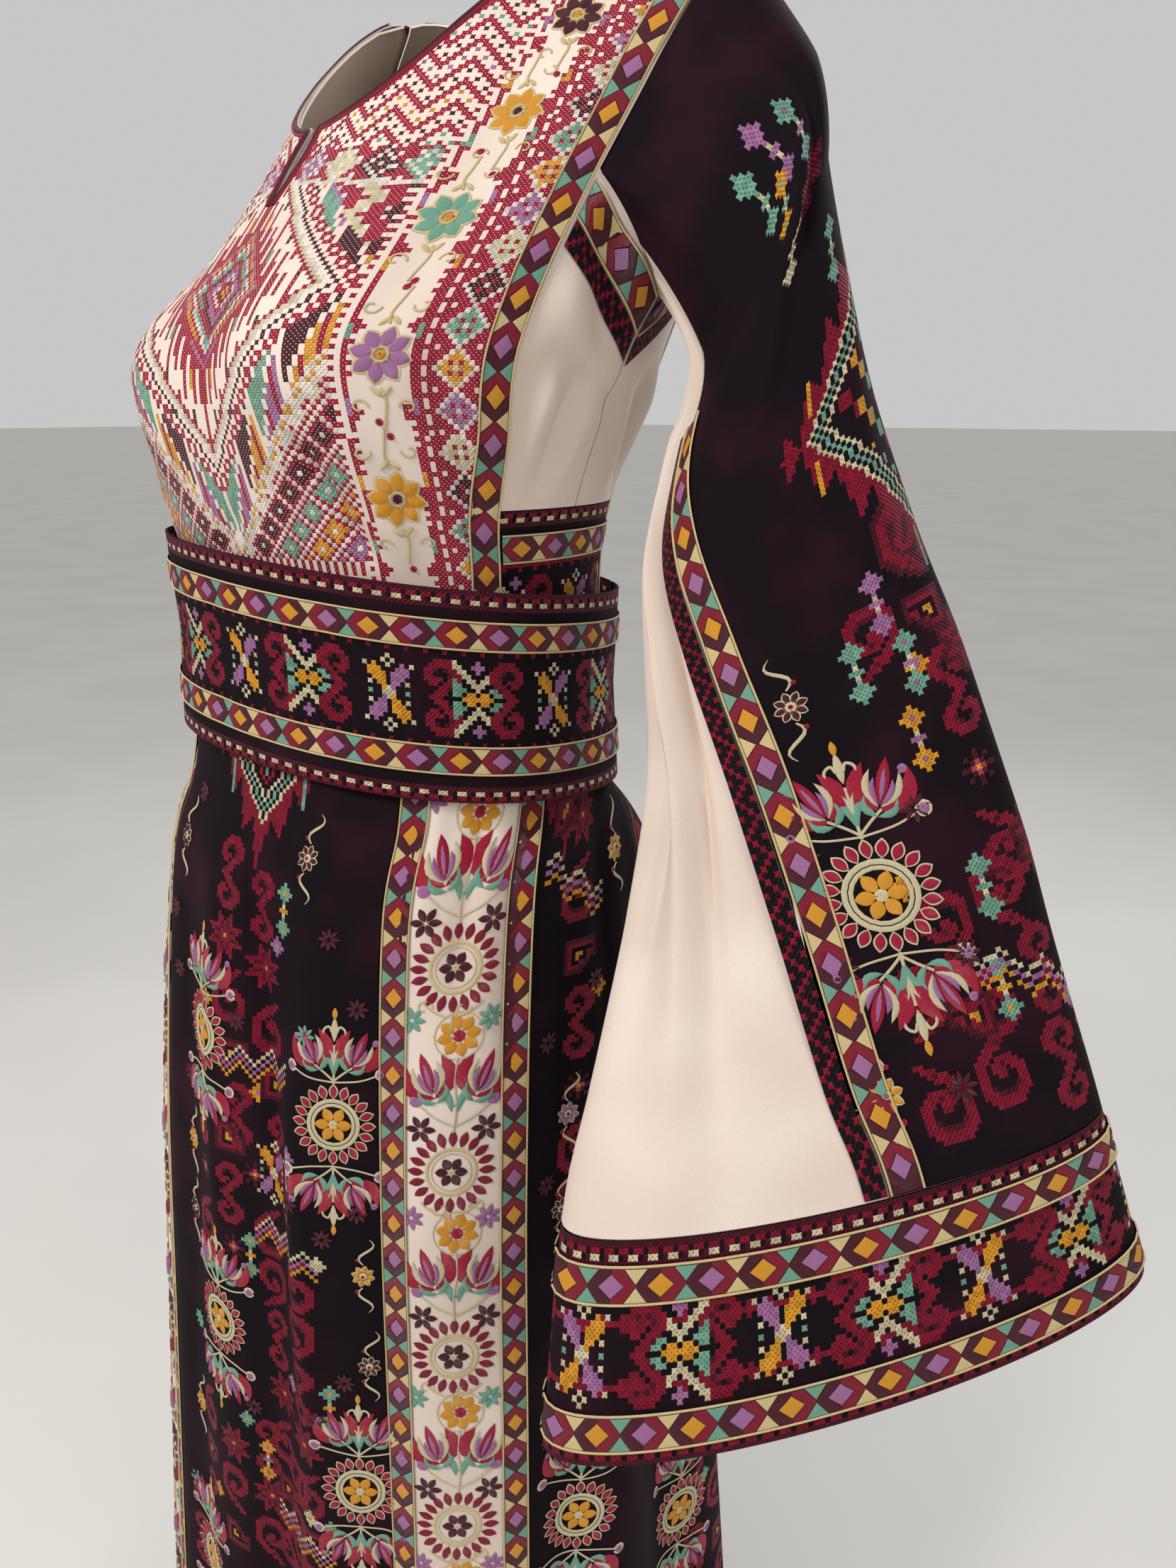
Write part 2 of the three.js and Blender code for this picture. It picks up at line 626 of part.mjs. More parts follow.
// Neck binding: a narrow folded strip round the neckline's outer face, open at the slit
const BINDING_WIDTH = 5;
function bindingFront(share, fall) {
  const across = share * (NECK_HALF_WIDTH - 2) + Math.sign(share) * SLIT_HALF_WIDTH;
  return bodice(across, neckDrop(across, NECK_DROP_FRONT) + 1 + fall * BINDING_WIDTH);
}
function bindingBack(share, fall) {
  const across = share * (NECK_HALF_WIDTH - 2);
  const down = neckDrop(across, NECK_DROP_BACK) + 1 + fall * BINDING_WIDTH;
  return bodice(halfRound(down) + across, down);
}
add(wall("neck_binding_left", BINDING, bindingFront, spread(0.01, 0.95, 10), [0, 1], onPanel));
add(wall("neck_binding_right", BINDING, bindingFront, spread(-0.95, -0.01, 10), [0, 1], onPanel));
add(wall("neck_binding_back", BINDING, bindingBack, spread(-0.95, 0.95, 16), [0, 1], onPanel));

// Sleeves: velvet upper sleeve, pale under-sleeve, cuff, and their ribbons
const LAST_ROW = SLEEVE.length;
const SLEEVE_ROWS = [0, 0.5, 1, 1.6, 2.3, 3.2, 4.3, 5.5, 6.8, CUFF_ROW - 0.006];
const PARTING_ANGLE = 0.006;
const edgeAngle = (width, row) => width / mix(62, 150, smooth((row - 1) / 7));
const ribbonAngle = (row) => paleStart(row) - PARTING_ANGLE - edgeAngle(RIBBON_WIDTH, row);
const edgingAngle = (row) => paleStart(row) + PARTING_ANGLE + edgeAngle(EDGING_WIDTH, row);
const COLUMN = 0.08; // share of a panel's columns that runs under its ribbon or edging
function inThree(share, a, b) {
  if (share < COLUMN) return mix(a, b, share / COLUMN);
  if (share > 1 - COLUMN) return -mix(a, b, (1 - share) / COLUMN);
  return mix(b, -b, within(share, COLUMN, 1 - COLUMN));
}
const opened = (cells) => [0, ...spread(COLUMN, 1 - COLUMN, cells), 1];
const velvetSleeve = (mirrored) => (share, row) => {
  const angle = inThree(share, paleStart(row) - PARTING_ANGLE, ribbonAngle(row));
  return sleeve(mirrored ? -angle : angle, row, mirrored);
};
const underSleeve = (mirrored) => (share, row) => {
  const angle = inThree(share, Math.PI - paleStart(row) - PARTING_ANGLE, Math.PI - edgingAngle(row));
  const round = angle > 0 ? angle - Math.PI : angle + Math.PI;
  return sleeve(mirrored ? -round : round, row, mirrored);
};
for (const [side, mirrored] of [["left", false], ["right", true]]) {
  add(wall(`sleeve_${side}`, VELVET, velvetSleeve(mirrored), opened(13), SLEEVE_ROWS));
  add(wall(`under_sleeve_${side}`, IVORY, underSleeve(mirrored), opened(6), SLEEVE_ROWS));
  const cuffAt = (share, row) =>
    sleeve(Math.PI * (mirrored ? 2 * share - 1 : 1 - 2 * share), row, mirrored);
  add(tube(`cuff_${side}`, STITCHED_VELVET, cuffAt, 26, [CUFF_ROW + 0.006, CUFF_ROW + 0.5, LAST_ROW]));
  for (const [place, near, far] of [["upper", 0.1, 0.25], ["lower", 0.76, 0.91]]) {
    const rows = [CUFF_ROW + near, CUFF_ROW + far];
    add(tube(`cuff_ribbon_${place}_${side}`, RIBBON_CLOTH, cuffAt, 26, rows, onPanel));
  }
  for (const [face, sign] of [["front", 1], ["back", -1]]) {
    const turned = mirrored !== sign < 0;
    const strip = (from, to) => (share, row) => {
      const angle = sign * mix(from(row), to(row), turned ? 1 - share : share);
      return sleeve(angle, row, mirrored);
    };
    const ribbonAt = strip((row) => paleStart(row) - PARTING_ANGLE, ribbonAngle);
    const edgingAt = strip(edgingAngle, (row) => paleStart(row) + PARTING_ANGLE);
    const rows = [1.6, 2.3, 3.2, 4.3, 5.5, 6.8, CUFF_ROW - 0.02];
    add(wall(`sleeve_ribbon_${face}_${side}`, RIBBON_CLOTH, ribbonAt, [0, 1], rows, onPanel));
    add(wall(`sleeve_edging_${face}_${side}`, EDGING, edgingAt, [0, 1], rows, onPanel));
  }
}

// A closed ring of cloth: like a wall, but its two ends are one
function tube(name, material, at, cells, rows, options = {}) {
  const { thickness = CLOTH, lift = 0 } = options;
  const STEP = 1e-3;
  const positions = [];
  const index = [];
  const nv = rows.length;
  for (const inner of [false, true])
    for (const row of rows)
      for (let i = 0; i < cells; i++) {
        const u = i / cells;
        const du = at((u + STEP) % 1, row).sub(at((u + 1 - STEP) % 1, row));
        const v = Math.min(Math.max(row, rows[0] + STEP), rows[nv - 1] - STEP);
        const dv = at(u, v + STEP).sub(at(u, v - STEP));
        const p = at(u, row).addScaledVector(dv.cross(du).normalize(), lift - (inner ? thickness : 0));
        positions.push(p.x, p.y, p.z);
      }
  const id = (i, j, inner) => (inner ? cells * nv : 0) + j * cells + (i % cells);
  const quad = (a, b, c, d) => index.push(a, b, c, a, c, d);
  for (let i = 0; i < cells; i++) {
    for (let j = 0; j < nv - 1; j++) {
      quad(id(i, j), id(i, j + 1), id(i + 1, j + 1), id(i + 1, j));
      quad(id(i, j, true), id(i + 1, j, true), id(i + 1, j + 1, true), id(i, j + 1, true));
    }
    quad(id(i, 0), id(i + 1, 0), id(i + 1, 0, true), id(i, 0, true));
    quad(id(i, nv - 1), id(i, nv - 1, true), id(i + 1, nv - 1, true), id(i + 1, nv - 1));
  }
  return meshOf(name, material, positions, index);
}

// Skirt panels between seams
const fallOf = (z) => (WAIST_SEAM_Z - z) / (WAIST_SEAM_Z - HEM_Z);
const floralInner = (z) => mix(FLORAL_PANEL.innerTop, FLORAL_PANEL.innerHem, fallOf(z));
const floralOuter = (z) => floralInner(z) + FLORAL_PANEL.width;
const backStart = (z) => skirtHalf(z) - mix(BACK_PANEL.fromBackTop, BACK_PANEL.fromBackHem, fallOf(z));
function skirtPanel(from, to) {
  return (share, fall) => {
    const z = mix(WAIST_SEAM_Z - SEAM, HEM_Z, fall);
    return skirt(mix(from(z) + SEAM, to(z) - SEAM, share), z);
  };
}
const minus = (place) => (z) => -place(z);
const SKIRT_FALLS = [0, 0.05, 0.115, 0.2, 0.3, 0.42, 0.56, 0.7, 0.85, 1];
const ribbonAround = (start) => (share, fall) => {
  const z = mix(WAIST_SEAM_Z - 2, HEM_Z + 1, fall);
  return skirt(start(z) + 0.6 + share * RIBBON_WIDTH, z);
};
const aroundBack = (z) => 2 * skirtHalf(z) - backStart(z);
const outerStart = (z) => floralOuter(z) - RIBBON_WIDTH - 1.2;
const mirroredStart = (start) => (z) => -start(z) - RIBBON_WIDTH - 1.2;
const skirtPanels = [
  ["skirt_front", STITCHED_VELVET, minus(floralInner), floralInner, 14],
  ["floral_panel_left", IVORY, floralInner, floralOuter, 5],
  ["floral_panel_right", IVORY, minus(floralOuter), minus(floralInner), 5],
  ["skirt_side_left", STITCHED_VELVET, floralOuter, backStart, 9],
  ["skirt_side_right", STITCHED_VELVET, minus(backStart), minus(floralOuter), 9],
  ["skirt_back", STITCHED_VELVET, backStart, aroundBack, 12],
];
for (const [name, material, from, to, cells] of skirtPanels)
  add(wall(name, material, skirtPanel(from, to), spread(0, 1, cells), SKIRT_FALLS));
const skirtRibbons = [
  ["skirt_ribbon_inner_left", floralInner],
  ["skirt_ribbon_outer_left", outerStart],
  ["skirt_ribbon_inner_right", mirroredStart(floralInner)],
  ["skirt_ribbon_outer_right", mirroredStart(outerStart)],
];
for (const [name, start] of skirtRibbons)
  add(wall(name, RIBBON_CLOTH, ribbonAround(start), [0, 1], SKIRT_FALLS, onPanel));

// Belt: a wide band closed by a hook at the back, with two ribbons
const beltRound = 2 * BELT_ARCS[ARC_STEPS];
const beltJoin = (BELT_JOIN / Math.PI) * BELT_ARCS[ARC_STEPS];
const beltAcross = (share) => mix(beltJoin + BELT_OPEN / 2, beltJoin + beltRound - BELT_OPEN / 2, share);
const beltWall = (share, fall) => beltAt(beltAcross(share), mix(0.5, -0.5, fall) * BELT_HEIGHT);
const BELT_SHARES = spread(0, 1, 40);
add(wall("belt", STITCHED_VELVET, beltWall, BELT_SHARES, spread(0, 1, 2), { thickness: 3 }));
for (const [place, near] of [["upper", 0.135], ["lower", 0.725]]) {
  const at = (share, fall) => beltWall(share, near + (fall * RIBBON_WIDTH) / BELT_HEIGHT);
  add(wall(`belt_ribbon_${place}`, RIBBON_CLOTH, at, BELT_SHARES, [0, 1], onPanel));
}

// The belt's hooks: small bent wires across the parting, clear of both ends
const HOOK = { wire: 1.6, half: 8, rise: 2.6, clear: 0.5, at: [53, 0, -53] };
const hookSection = new THREE.Shape();
hookSection.absarc(0, 0, HOOK.wire / 2, 0, 2 * Math.PI);
HOOK.at.forEach((up, i) => {
  const left = beltAt(beltJoin - HOOK.half, up);
  const right = beltAt(beltJoin + HOOK.half, up);
  const middle = beltAt(beltJoin, up);
  const out = new THREE.Vector3(middle.x, middle.y - BELT_RING.side, 0).normalize();
  const stand = HOOK.clear + HOOK.wire / 2;
  const points = [
    left.addScaledVector(out, stand),
    middle.clone().lerp(left, 0.4).addScaledVector(out, HOOK.rise),
    middle.clone().lerp(right, 0.4).addScaledVector(out, HOOK.rise + stand),
    right.addScaledVector(out, stand),
  ];
  const extrudePath = new THREE.CatmullRomCurve3(points);
  const hook = new THREE.Mesh(
    new THREE.ExtrudeGeometry(hookSection, { steps: 6, curveSegments: 4, extrudePath }),
    GOLD,
  );
  hook.name = `belt_hook_${i + 1}`;
  add(hook);
});

export default thobe;
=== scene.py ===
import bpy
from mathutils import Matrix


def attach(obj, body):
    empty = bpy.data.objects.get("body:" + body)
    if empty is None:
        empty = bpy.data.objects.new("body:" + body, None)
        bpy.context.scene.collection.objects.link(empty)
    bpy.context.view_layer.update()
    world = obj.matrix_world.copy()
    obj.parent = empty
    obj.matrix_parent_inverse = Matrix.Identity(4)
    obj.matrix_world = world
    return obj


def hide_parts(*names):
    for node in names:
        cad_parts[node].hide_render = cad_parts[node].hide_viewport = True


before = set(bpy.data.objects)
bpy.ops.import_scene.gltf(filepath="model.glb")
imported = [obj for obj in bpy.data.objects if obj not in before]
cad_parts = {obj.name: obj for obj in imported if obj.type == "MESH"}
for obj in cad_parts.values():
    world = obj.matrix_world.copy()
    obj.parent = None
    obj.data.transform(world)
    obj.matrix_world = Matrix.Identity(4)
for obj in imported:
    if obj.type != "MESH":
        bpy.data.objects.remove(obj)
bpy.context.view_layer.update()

# The looks of an embroidered thobe, worn and belted. Sizes are millimetres until a mesh is made.
# Each cloth has flat coordinates: x runs round it towards the wearer's left (on a sleeve, towards the
# front) and y runs down it. Cross-stitch is a grid of square cells in those coordinates, and satin
# stitch, flowers and ribbons are low relief laid on them.
import copy
import math

import bpy
import numpy as np
from mathutils import Matrix, Vector

# Camera, at the photograph's viewing angle
FOCAL_PIXELS = 1700
PHOTO_HEIGHT = 2212
CAMERA_AT = (0.5755, -0.5557, -0.25)
HEADING = math.radians(37.2)
PITCH_DOWN = math.radians(17.5)

camera_data = bpy.data.cameras.new("camera")
camera_data.sensor_width = 36
camera_data.lens = 36 * FOCAL_PIXELS / PHOTO_HEIGHT
camera = bpy.data.objects.new("camera", camera_data)
bpy.context.collection.objects.link(camera)
forward = Vector((-math.sin(HEADING), math.cos(HEADING), 0)) * math.cos(PITCH_DOWN)
forward.z = -math.sin(PITCH_DOWN)
right = Vector((math.cos(HEADING), math.sin(HEADING), 0))
turn = Matrix((right, right.cross(forward), -forward)).transposed()
camera.matrix_world = Matrix.Translation(CAMERA_AT) @ turn.to_4x4()
bpy.context.scene.camera = camera

# ---------------------------------------------------------------- the form, the same as the CAD's
HEM_Z = -1400
WAIST_SEAM_Z = -425
BAND_TOP_Z = -305
BELT_HEIGHT = 121
SEAM = 0.4
RIBBON_WIDTH = 17
EDGING_WIDTH = 11
NECK_HALF_WIDTH = 116
NECK_DROP_FRONT = 141
NECK_DROP_BACK = 62
SLIT_END = 192
SQUARENESS = 0.9
SKIRT_LENGTH = WAIST_SEAM_Z - HEM_Z

TORSO = np.array([  # height, front, back and side depth, half width
    (0, 28, 28, 28, 250), (-7, 10, 50, 28, 245), (-30, -14, 72, 27, 232), (-66, -40, 90, 24, 215),
    (-106, -66, 102, 18, 200), (-148, -95, 110, 10, 186), (-190, -120, 112, 2, 176),
    (-228, -135, 110, -6, 168), (-268, -136, 104, -10, 159), (-306, -129, 99, -9, 149),
    (-345, -120, 99, -6, 141), (-395, -118, 101, -4, 138), (-450, -119, 103, -4, 139),
], float)
SKIRT = np.array([
    (-425, -118, 102, -4, 138), (-480, -129, 108, -4, 144), (-540, -147, 138, -2, 168),
    (-700, -166, 166, 0, 193), (-900, -180, 184, 0, 211), (-1150, -197, 206, 0, 232),
    (-1400, -213, 228, 0, 252),
], float)
FOLDS = [  # place round the waist and round the hem, width, depth
    (22, 30, 26, -13), (58, 66, 20, 7), (-58, -78, 24, -9), (110, 128, 16, -6), (212, 250, 18, -9),
    (252, 300, 22, 8), (300, 365, 24, -13), (355, 440, 30, 10), (405, 520, 28, -12),
    (-112, -140, 18, -7), (-215, -255, 20, -10), (-262, -318, 24, 8), (-318, -392, 26, -12),
    (-385, -480, 30, 11),
]
FRONT_EDGE = np.array([(0, 199), (60, 195), (125, 185), (188, 176), (230, 175), (278, 181), (320, 176),
                       (380, 161), (490, 150)], float)
BACK_EDGE = np.array([(0, 199), (60, 195), (125, 184), (188, 174), (230, 168), (280, 156), (330, 142),
                      (380, 130), (490, 120)], float)
ARMHOLE_TURN, ARMHOLE_FOOT = 188.0, 250.0
SLEEVE = np.array([  # outer fold, inner fold, swell in front and behind, degrees to the under-sleeve
    (255, 50, -98, 214, 8, -244, 54, 40, 158), (281, 36, -165, 214, -6, -290, 50, 40, 154),
    (310, 25, -242, 217, -22, -332, 44, 38, 140), (344, 19, -313, 229, -38, -382, 40, 36, 125),
    (380, 14, -386, 243, -58, -440, 37, 35, 111), (413, 13, -458, 251, -92, -507, 36, 34, 99),
    (444, 12, -534, 257, -134, -580, 36, 34, 89), (461, 12, -577, 260, -162, -636, 38, 35, 82),
    (489, 22, -663, 266, -186, -750, 43, 38, 80),
], float)
CUFF_ROW, LAST_ROW = 8.0, 9.0
EASED_ROW = 1.6  # above this row the sleeve blends into its armhole
CUFF_GAP = 0.006  # rows between the sleeve and its cuff
LEFT_SHOULDER, RIGHT_SHOULDER = (230, 48, -34), (-146, 158, -34)
RIGHT_ARM_TURN = math.radians(32)


def through(values, t):
    """A smooth curve through the values, at whole numbers of t."""
    values = np.asarray(values, float)
    last = len(values) - 1
    i = np.clip(np.floor(t).astype(int), 0, last - 1)
    f = t - i
    a, b, c, d = (values[np.clip(i + k, 0, last)] for k in (-1, 0, 1, 2))
    return b + 0.5 * f * (c - a + f * (2 * a - 5 * b + 4 * c - d + f * (3 * (b - c) + d - a)))


def dense(table, steps=100):
    t = np.linspace(0, len(table) - 1, (len(table) - 1) * steps + 1)
    return t, np.array([through(column, t) for column in table.T])


def smooth(x):
    x = np.clip(x, 0, 1)
    return x * x * (3 - 2 * x)


def mix(a, b, f):
    return a + (b - a) * f


def unit(vectors):
    return vectors / np.maximum(np.linalg.norm(vectors, axis=-1, keepdims=True), 1e-9)


def lengths_along(points, axis=0):
    """Distances along rows of points, from their start."""
    steps = np.linalg.norm(np.diff(points, axis=axis), axis=-1)
    return np.insert(np.cumsum(steps, axis=axis), 0, 0, axis=axis)


def section(row, angle, drop=0.0):
    """A point of the body's or the belt's outline at a height."""
    z, front, back, side, half = row
    s, c = np.sin(angle), np.cos(angle)
    x = half * np.sign(s) * np.abs(s) ** SQUARENESS
    y = side + (np.where(c > 0, front, back) - side) * np.abs(c) ** SQUARENESS
    return np.stack(np.broadcast_arrays(x, y, z - drop * np.maximum(np.abs(x) - 78, 0)), -1)


def flat_torso(angle, t):
    """The bodice before the body turns; t is a place in the TORSO table."""
    row = [through(column, t) for column in TORSO.T]
    p = section(row, angle, 0.3 * smooth(1 - t / 5))
    bust = 20 * np.exp(-(((np.abs(p[..., 0]) - 72) / 52) ** 2) - ((row[0] + 222) / 50) ** 2)
    p[..., 1] -= np.where(np.cos(angle) > 0, bust, 0)
    return p


def posed(p):
    """The torso turned and shifted above the waist, with the right shoulder held back."""
    x, y, z = p[..., 0], p[..., 1], p[..., 2]
    w = smooth((z + 345) / 225)
    angle = w * (math.radians(14) * (1 - smooth(x / 130)) + math.radians(18) * smooth(-x / 130))
    c, s = np.cos(angle), np.sin(angle)
    return np.stack((c * x + s * y + 20 * w, -s * x + c * y + 10 * w, z), -1)


def bilinear(table, r, k):
    r = np.clip(r, 0, table.shape[0] - 1.001)
    k = np.clip(k, 0, table.shape[1] - 1.001)
    i, j = r.astype(int), k.astype(int)
    f, g = r - i, k - j
    top = mix(table[i, j], table[i, j + 1], g)
    return mix(top, mix(table[i + 1, j], table[i + 1, j + 1], g), f)


class Rings:
    """Distances round a stack of rings: finds the angle at a distance from the centre front."""

    SHARES = 513

    def __init__(self, point_at, ts):
        angles = np.linspace(0, math.pi, 361)
        p = point_at(angles[None, :], ts[:, None])[..., :2]
        lengths = lengths_along(p, 1)
        self.ts, self.half, self.quarter = ts, lengths[:, -1], lengths[:, 180]
        shares = np.linspace(0, 1, self.SHARES)
        self.angles = np.array([np.interp(shares * l[-1], l, angles) for l in lengths])

    def angle(self, across, t):
        half = np.interp(t, self.ts, self.half)
        d = np.abs(across)
        over = d > half
        share = np.where(over, 2 * half - d, d) / half
        r = (t - self.ts[0]) / (self.ts[-1] - self.ts[0]) * (len(self.ts) - 1)
        angle = bilinear(self.angles, r, share * (self.SHARES - 1))
        return np.sign(across) * np.where(over, 2 * math.pi - angle, angle)


torso_ts = np.linspace(0, len(TORSO) - 1, 241)
TORSO_RINGS = Rings(flat_torso, torso_ts)
spine = flat_torso(np.zeros(241), torso_ts)
TORSO_DOWN = lengths_along(spine)
front_edge_curve = dense(FRONT_EDGE)[1]
back_edge_curve = dense(BACK_EDGE)[1]


def front_edge(down):
    return np.interp(down, *front_edge_curve)


def back_edge(down):
    return np.interp(down, *back_edge_curve)


def half_round(down):
    return np.interp(down, TORSO_DOWN, TORSO_RINGS.half)


def quarter_round(down):
    return np.interp(down, TORSO_DOWN, TORSO_RINGS.quarter)


def bodice(across, down):
    across, down = np.broadcast_arrays(np.asarray(across, float), np.asarray(down, float))
    t = np.interp(down, TORSO_DOWN, torso_ts)
    return posed(flat_torso(TORSO_RINGS.angle(across, t), t))


def down_at_z(z):
    return float(np.interp(-z, -spine[:, 2], TORSO_DOWN))


skirt_t, skirt_columns = dense(SKIRT)
skirt_ts = np.linspace(0, len(SKIRT) - 1, 241)
SKIRT_RINGS = Rings(lambda a, t: section([through(c, t) for c in SKIRT.T], a), skirt_ts)


def skirt_t_at(z):
    return np.interp(-z, -skirt_columns[0], skirt_t)


def skirt_half(z):
    return np.interp(skirt_t_at(z), skirt_ts, SKIRT_RINGS.half)


def skirt_depth(across, z):
    """How far the skirt's upright folds stand out."""
    fall = (WAIST_SEAM_Z - z) / SKIRT_LENGTH
    growth = smooth(fall * 4) * (0.55 + 0.45 * fall)
    depth = 0
    for at_top, at_hem, width, deep in FOLDS:
        share = (across - mix(at_top, at_hem, fall)) / (width * (0.8 + 0.5 * fall))
        depth = depth + deep * growth * np.exp(-(share**2))
    return depth


def skirt(across, y):
    across, y = np.broadcast_arrays(np.asarray(across, float), np.asarray(y, float))
    z = WAIST_SEAM_Z - y
    t = skirt_t_at(z)
    row = [through(column, t) for column in SKIRT.T]
    half = skirt_half(z)
    p = section(row, SKIRT_RINGS.angle(across, t))
    away = np.stack((p[..., 0] / row[4] ** 2, (p[..., 1] - row[3]) / row[1] ** 2, 0 * z), -1)
    wrapped = np.where(across > half, across - 2 * half, across)
    return p + unit(away) * skirt_depth(wrapped, z)[..., None]


def armhole_place(share, behind):
    def edge(down):
        return np.where(behind, back_edge(down), front_edge(down))

    slant = np.hypot(ARMHOLE_FOOT - ARMHOLE_TURN, quarter_round(ARMHOLE_FOOT) - edge(ARMHOLE_TURN))
    length = share * (ARMHOLE_TURN + slant)
    f = np.clip((length - ARMHOLE_TURN) / slant, 0, 1)
    upper = length <= ARMHOLE_TURN
    down = np.where(upper, length, mix(ARMHOLE_TURN, ARMHOLE_FOOT, f))
    foot = np.where(behind, half_round(down) - quarter_round(down), quarter_round(down))
    return np.where(upper, edge(length), mix(edge(ARMHOLE_TURN), foot, f)), down


def armhole_point(share, behind, mirrored):
    across, down = armhole_place(share, behind)
    across = across + 1.2 * (1 - smooth(share * 4 - 3))
    down = np.maximum(down - 1.2 * smooth(share * 5 - 2.6), 0.3)
    around = np.where(behind, half_round(down) * 2 - (half_round(down) + across), across)
    return bodice(-around if mirrored else around, down)


def right_arm(p, share):
    """The left sleeve mirrored, turned back with its shoulder and hanging closer."""
    d = p - LEFT_SHOULDER
    s = smooth(share * 2)
    out, ahead = -d[..., 0] * mix(1, 0.75, s), d[..., 1] * mix(1, 0.6, s)
    c, n = math.cos(RIGHT_ARM_TURN), math.sin(RIGHT_ARM_TURN)
    turned = np.stack((c * out + n * ahead, -n * out + c * ahead, d[..., 2]), -1)
    return turned + RIGHT_SHOULDER + np.array((-34, 22, 0)) * share[..., None]


row_share = np.arange(9) / 8
RAILS = {False: SLEEVE.copy(), True: SLEEVE.copy()}
RAILS[True][:, :3] = right_arm(SLEEVE[:, :3], row_share)
RAILS[True][:, 3:6] = right_arm(SLEEVE[:, 3:6], row_share)


def sleeve(angle, row, mirrored):
    """angle runs from the shoulder side, positive in front; row runs from the armhole, 0."""
    angle, row = np.broadcast_arrays(np.asarray(angle, float), np.asarray(row, float))
    columns = [through(column, np.maximum(row - 1, 0)) for column in RAILS[mirrored].T]
    outer, inner = np.stack(columns[:3], -1), np.stack(columns[3:6], -1)
    wide = outer - inner
    ahead = np.stack((wide[..., 1], -wide[..., 0], 0 * row), -1)
    ahead = unit(ahead) * (-1 if mirrored else 1)
    s = np.sin(angle)
    depth = np.where(s > 0, columns[6], columns[7]) * np.sign(s) * np.abs(s) ** SQUARENESS
    ring = (outer + inner) / 2 + wide * (np.cos(angle) / 2)[..., None] + ahead * depth[..., None]
    seam = armhole_point(np.abs(angle) / math.pi, angle < 0, mirrored)
    away = seam - (20, 10, 0)
    away[..., 2] = 0
    start = np.clip(row / EASED_ROW, 0, 1)
    share = np.sin(math.pi / 2 * start) ** 1.2
    ease = 9 * np.sin(math.pi * start)
    eased = mix(seam, ring, share[..., None]) + unit(away) * ease[..., None]
    return np.where(row[..., None] >= EASED_ROW, ring, eased)


def pale_start(row):
    return np.radians(through(np.concatenate(([158], SLEEVE[:, 8])), row))


class SleeveCloth:
    """Flat coordinates of a sleeve: x from its outer fold, positive in front, y down that fold."""

    def __init__(self, mirrored):
        self.mirrored = mirrored
        self.rows = np.linspace(0, LAST_ROW, 181)
        self.angles = np.linspace(0, math.pi, 121)
        self.lengths, self.turns = {}, {}
        for side in (1, -1):
            p = sleeve(side * self.angles[None, :], self.rows[:, None], mirrored)
            shares = np.linspace(0, 1, 257)
            self.lengths[side] = lengths = lengths_along(p, 1)
            self.turns[side] = np.array([np.interp(shares * l[-1], l, self.angles) for l in lengths])
        self.down = lengths_along(sleeve(0 * self.rows, self.rows, mirrored))

    def row(self, y):
        return np.interp(y, self.down, self.rows)

    def y(self, row):
        return float(np.interp(row, self.rows, self.down))

    def half(self, side, y):
        return np.interp(self.row(y), self.rows, self.lengths[side][:, -1])

    def pale(self, side, y):
        """How far round the velvet reaches."""
        row = self.row(y)
        return bilinear(self.lengths[side], row * 20, pale_start(row) / math.pi * 120)

    def turned(self, share, y):
        """share runs from -1 to 1 round the back and the front."""
        row = self.row(y)
        ks = np.abs(share) * 256
        angle = np.where(share >= 0, bilinear(self.turns[1], row * 20, ks),
                         -bilinear(self.turns[-1], row * 20, ks))
        return sleeve(angle, row, self.mirrored)

    def place(self, x, y):
        x, y = np.broadcast_arrays(np.asarray(x, float), np.asarray(y, float))
        return self.turned(x / np.where(x >= 0, self.half(1, y), self.half(-1, y)), y)


BELT_RING = (-404, -127.4, 113.2, -4, 147.3)
BELT_RINGS = Rings(lambda a, t: section(BELT_RING, a) + 0 * t[..., None], np.array((0.0, 1.0)))
BELT_ROUND = 2 * float(BELT_RINGS.half[0])
BELT_JOIN = BELT_ROUND / 2 * 133 / 180


def belt(x, y):
    x, y = np.broadcast_arrays(np.asarray(x, float), np.asarray(y, float))
    up = BELT_HEIGHT / 2 - y
    p = section(BELT_RING, BELT_RINGS.angle(x, 0 * x))
    p[..., 2] += up - 0.08 * p[..., 0] - 0.1 * p[..., 1]
    p[..., :2] *= (1 + 0.045 * np.abs(up) / BELT_HEIGHT)[..., None]
    return p


# ---------------------------------------------------------------- cloth: a place, small folds, a side
NEAR = 0.7  # how far apart the points are that give a cloth its direction


class Cloth:
    """place(x, y) gives points; creases are (x0, y0, x1, y1, width, depth) on the flat cloth."""

    def __init__(self, place, side=1, creases=()):
        self.place, self.side, self.creases = place, side, creases

    def depth(self, x, y):
        total = 0.0 * x
        for x0, y0, x1, y1, width, deep in self.creases:
            dx, dy = x1 - x0, y1 - y0
            length = math.hypot(dx, dy)
            along = ((x - x0) * dx + (y - y0) * dy) / length
            away = ((x - x0) * dy - (y - y0) * dx) / length
            ends = smooth(along / (0.3 * length)) * smooth((length - along) / (0.3 * length))
            total = total + deep * ends * np.exp(-((away / width) ** 2))
        return total

    def at(self, x, y, lift=0.0):
        x, y = np.broadcast_arrays(np.asarray(x, float), np.asarray(y, float))
        du = self.place(x + NEAR, y) - self.place(x - NEAR, y)
        dv = self.place(x, y + NEAR) - self.place(x, y - NEAR)
        n = unit(np.cross(dv, du) * self.side)
        return self.place(x, y) + n * (self.depth(x, y) + lift)[..., None]


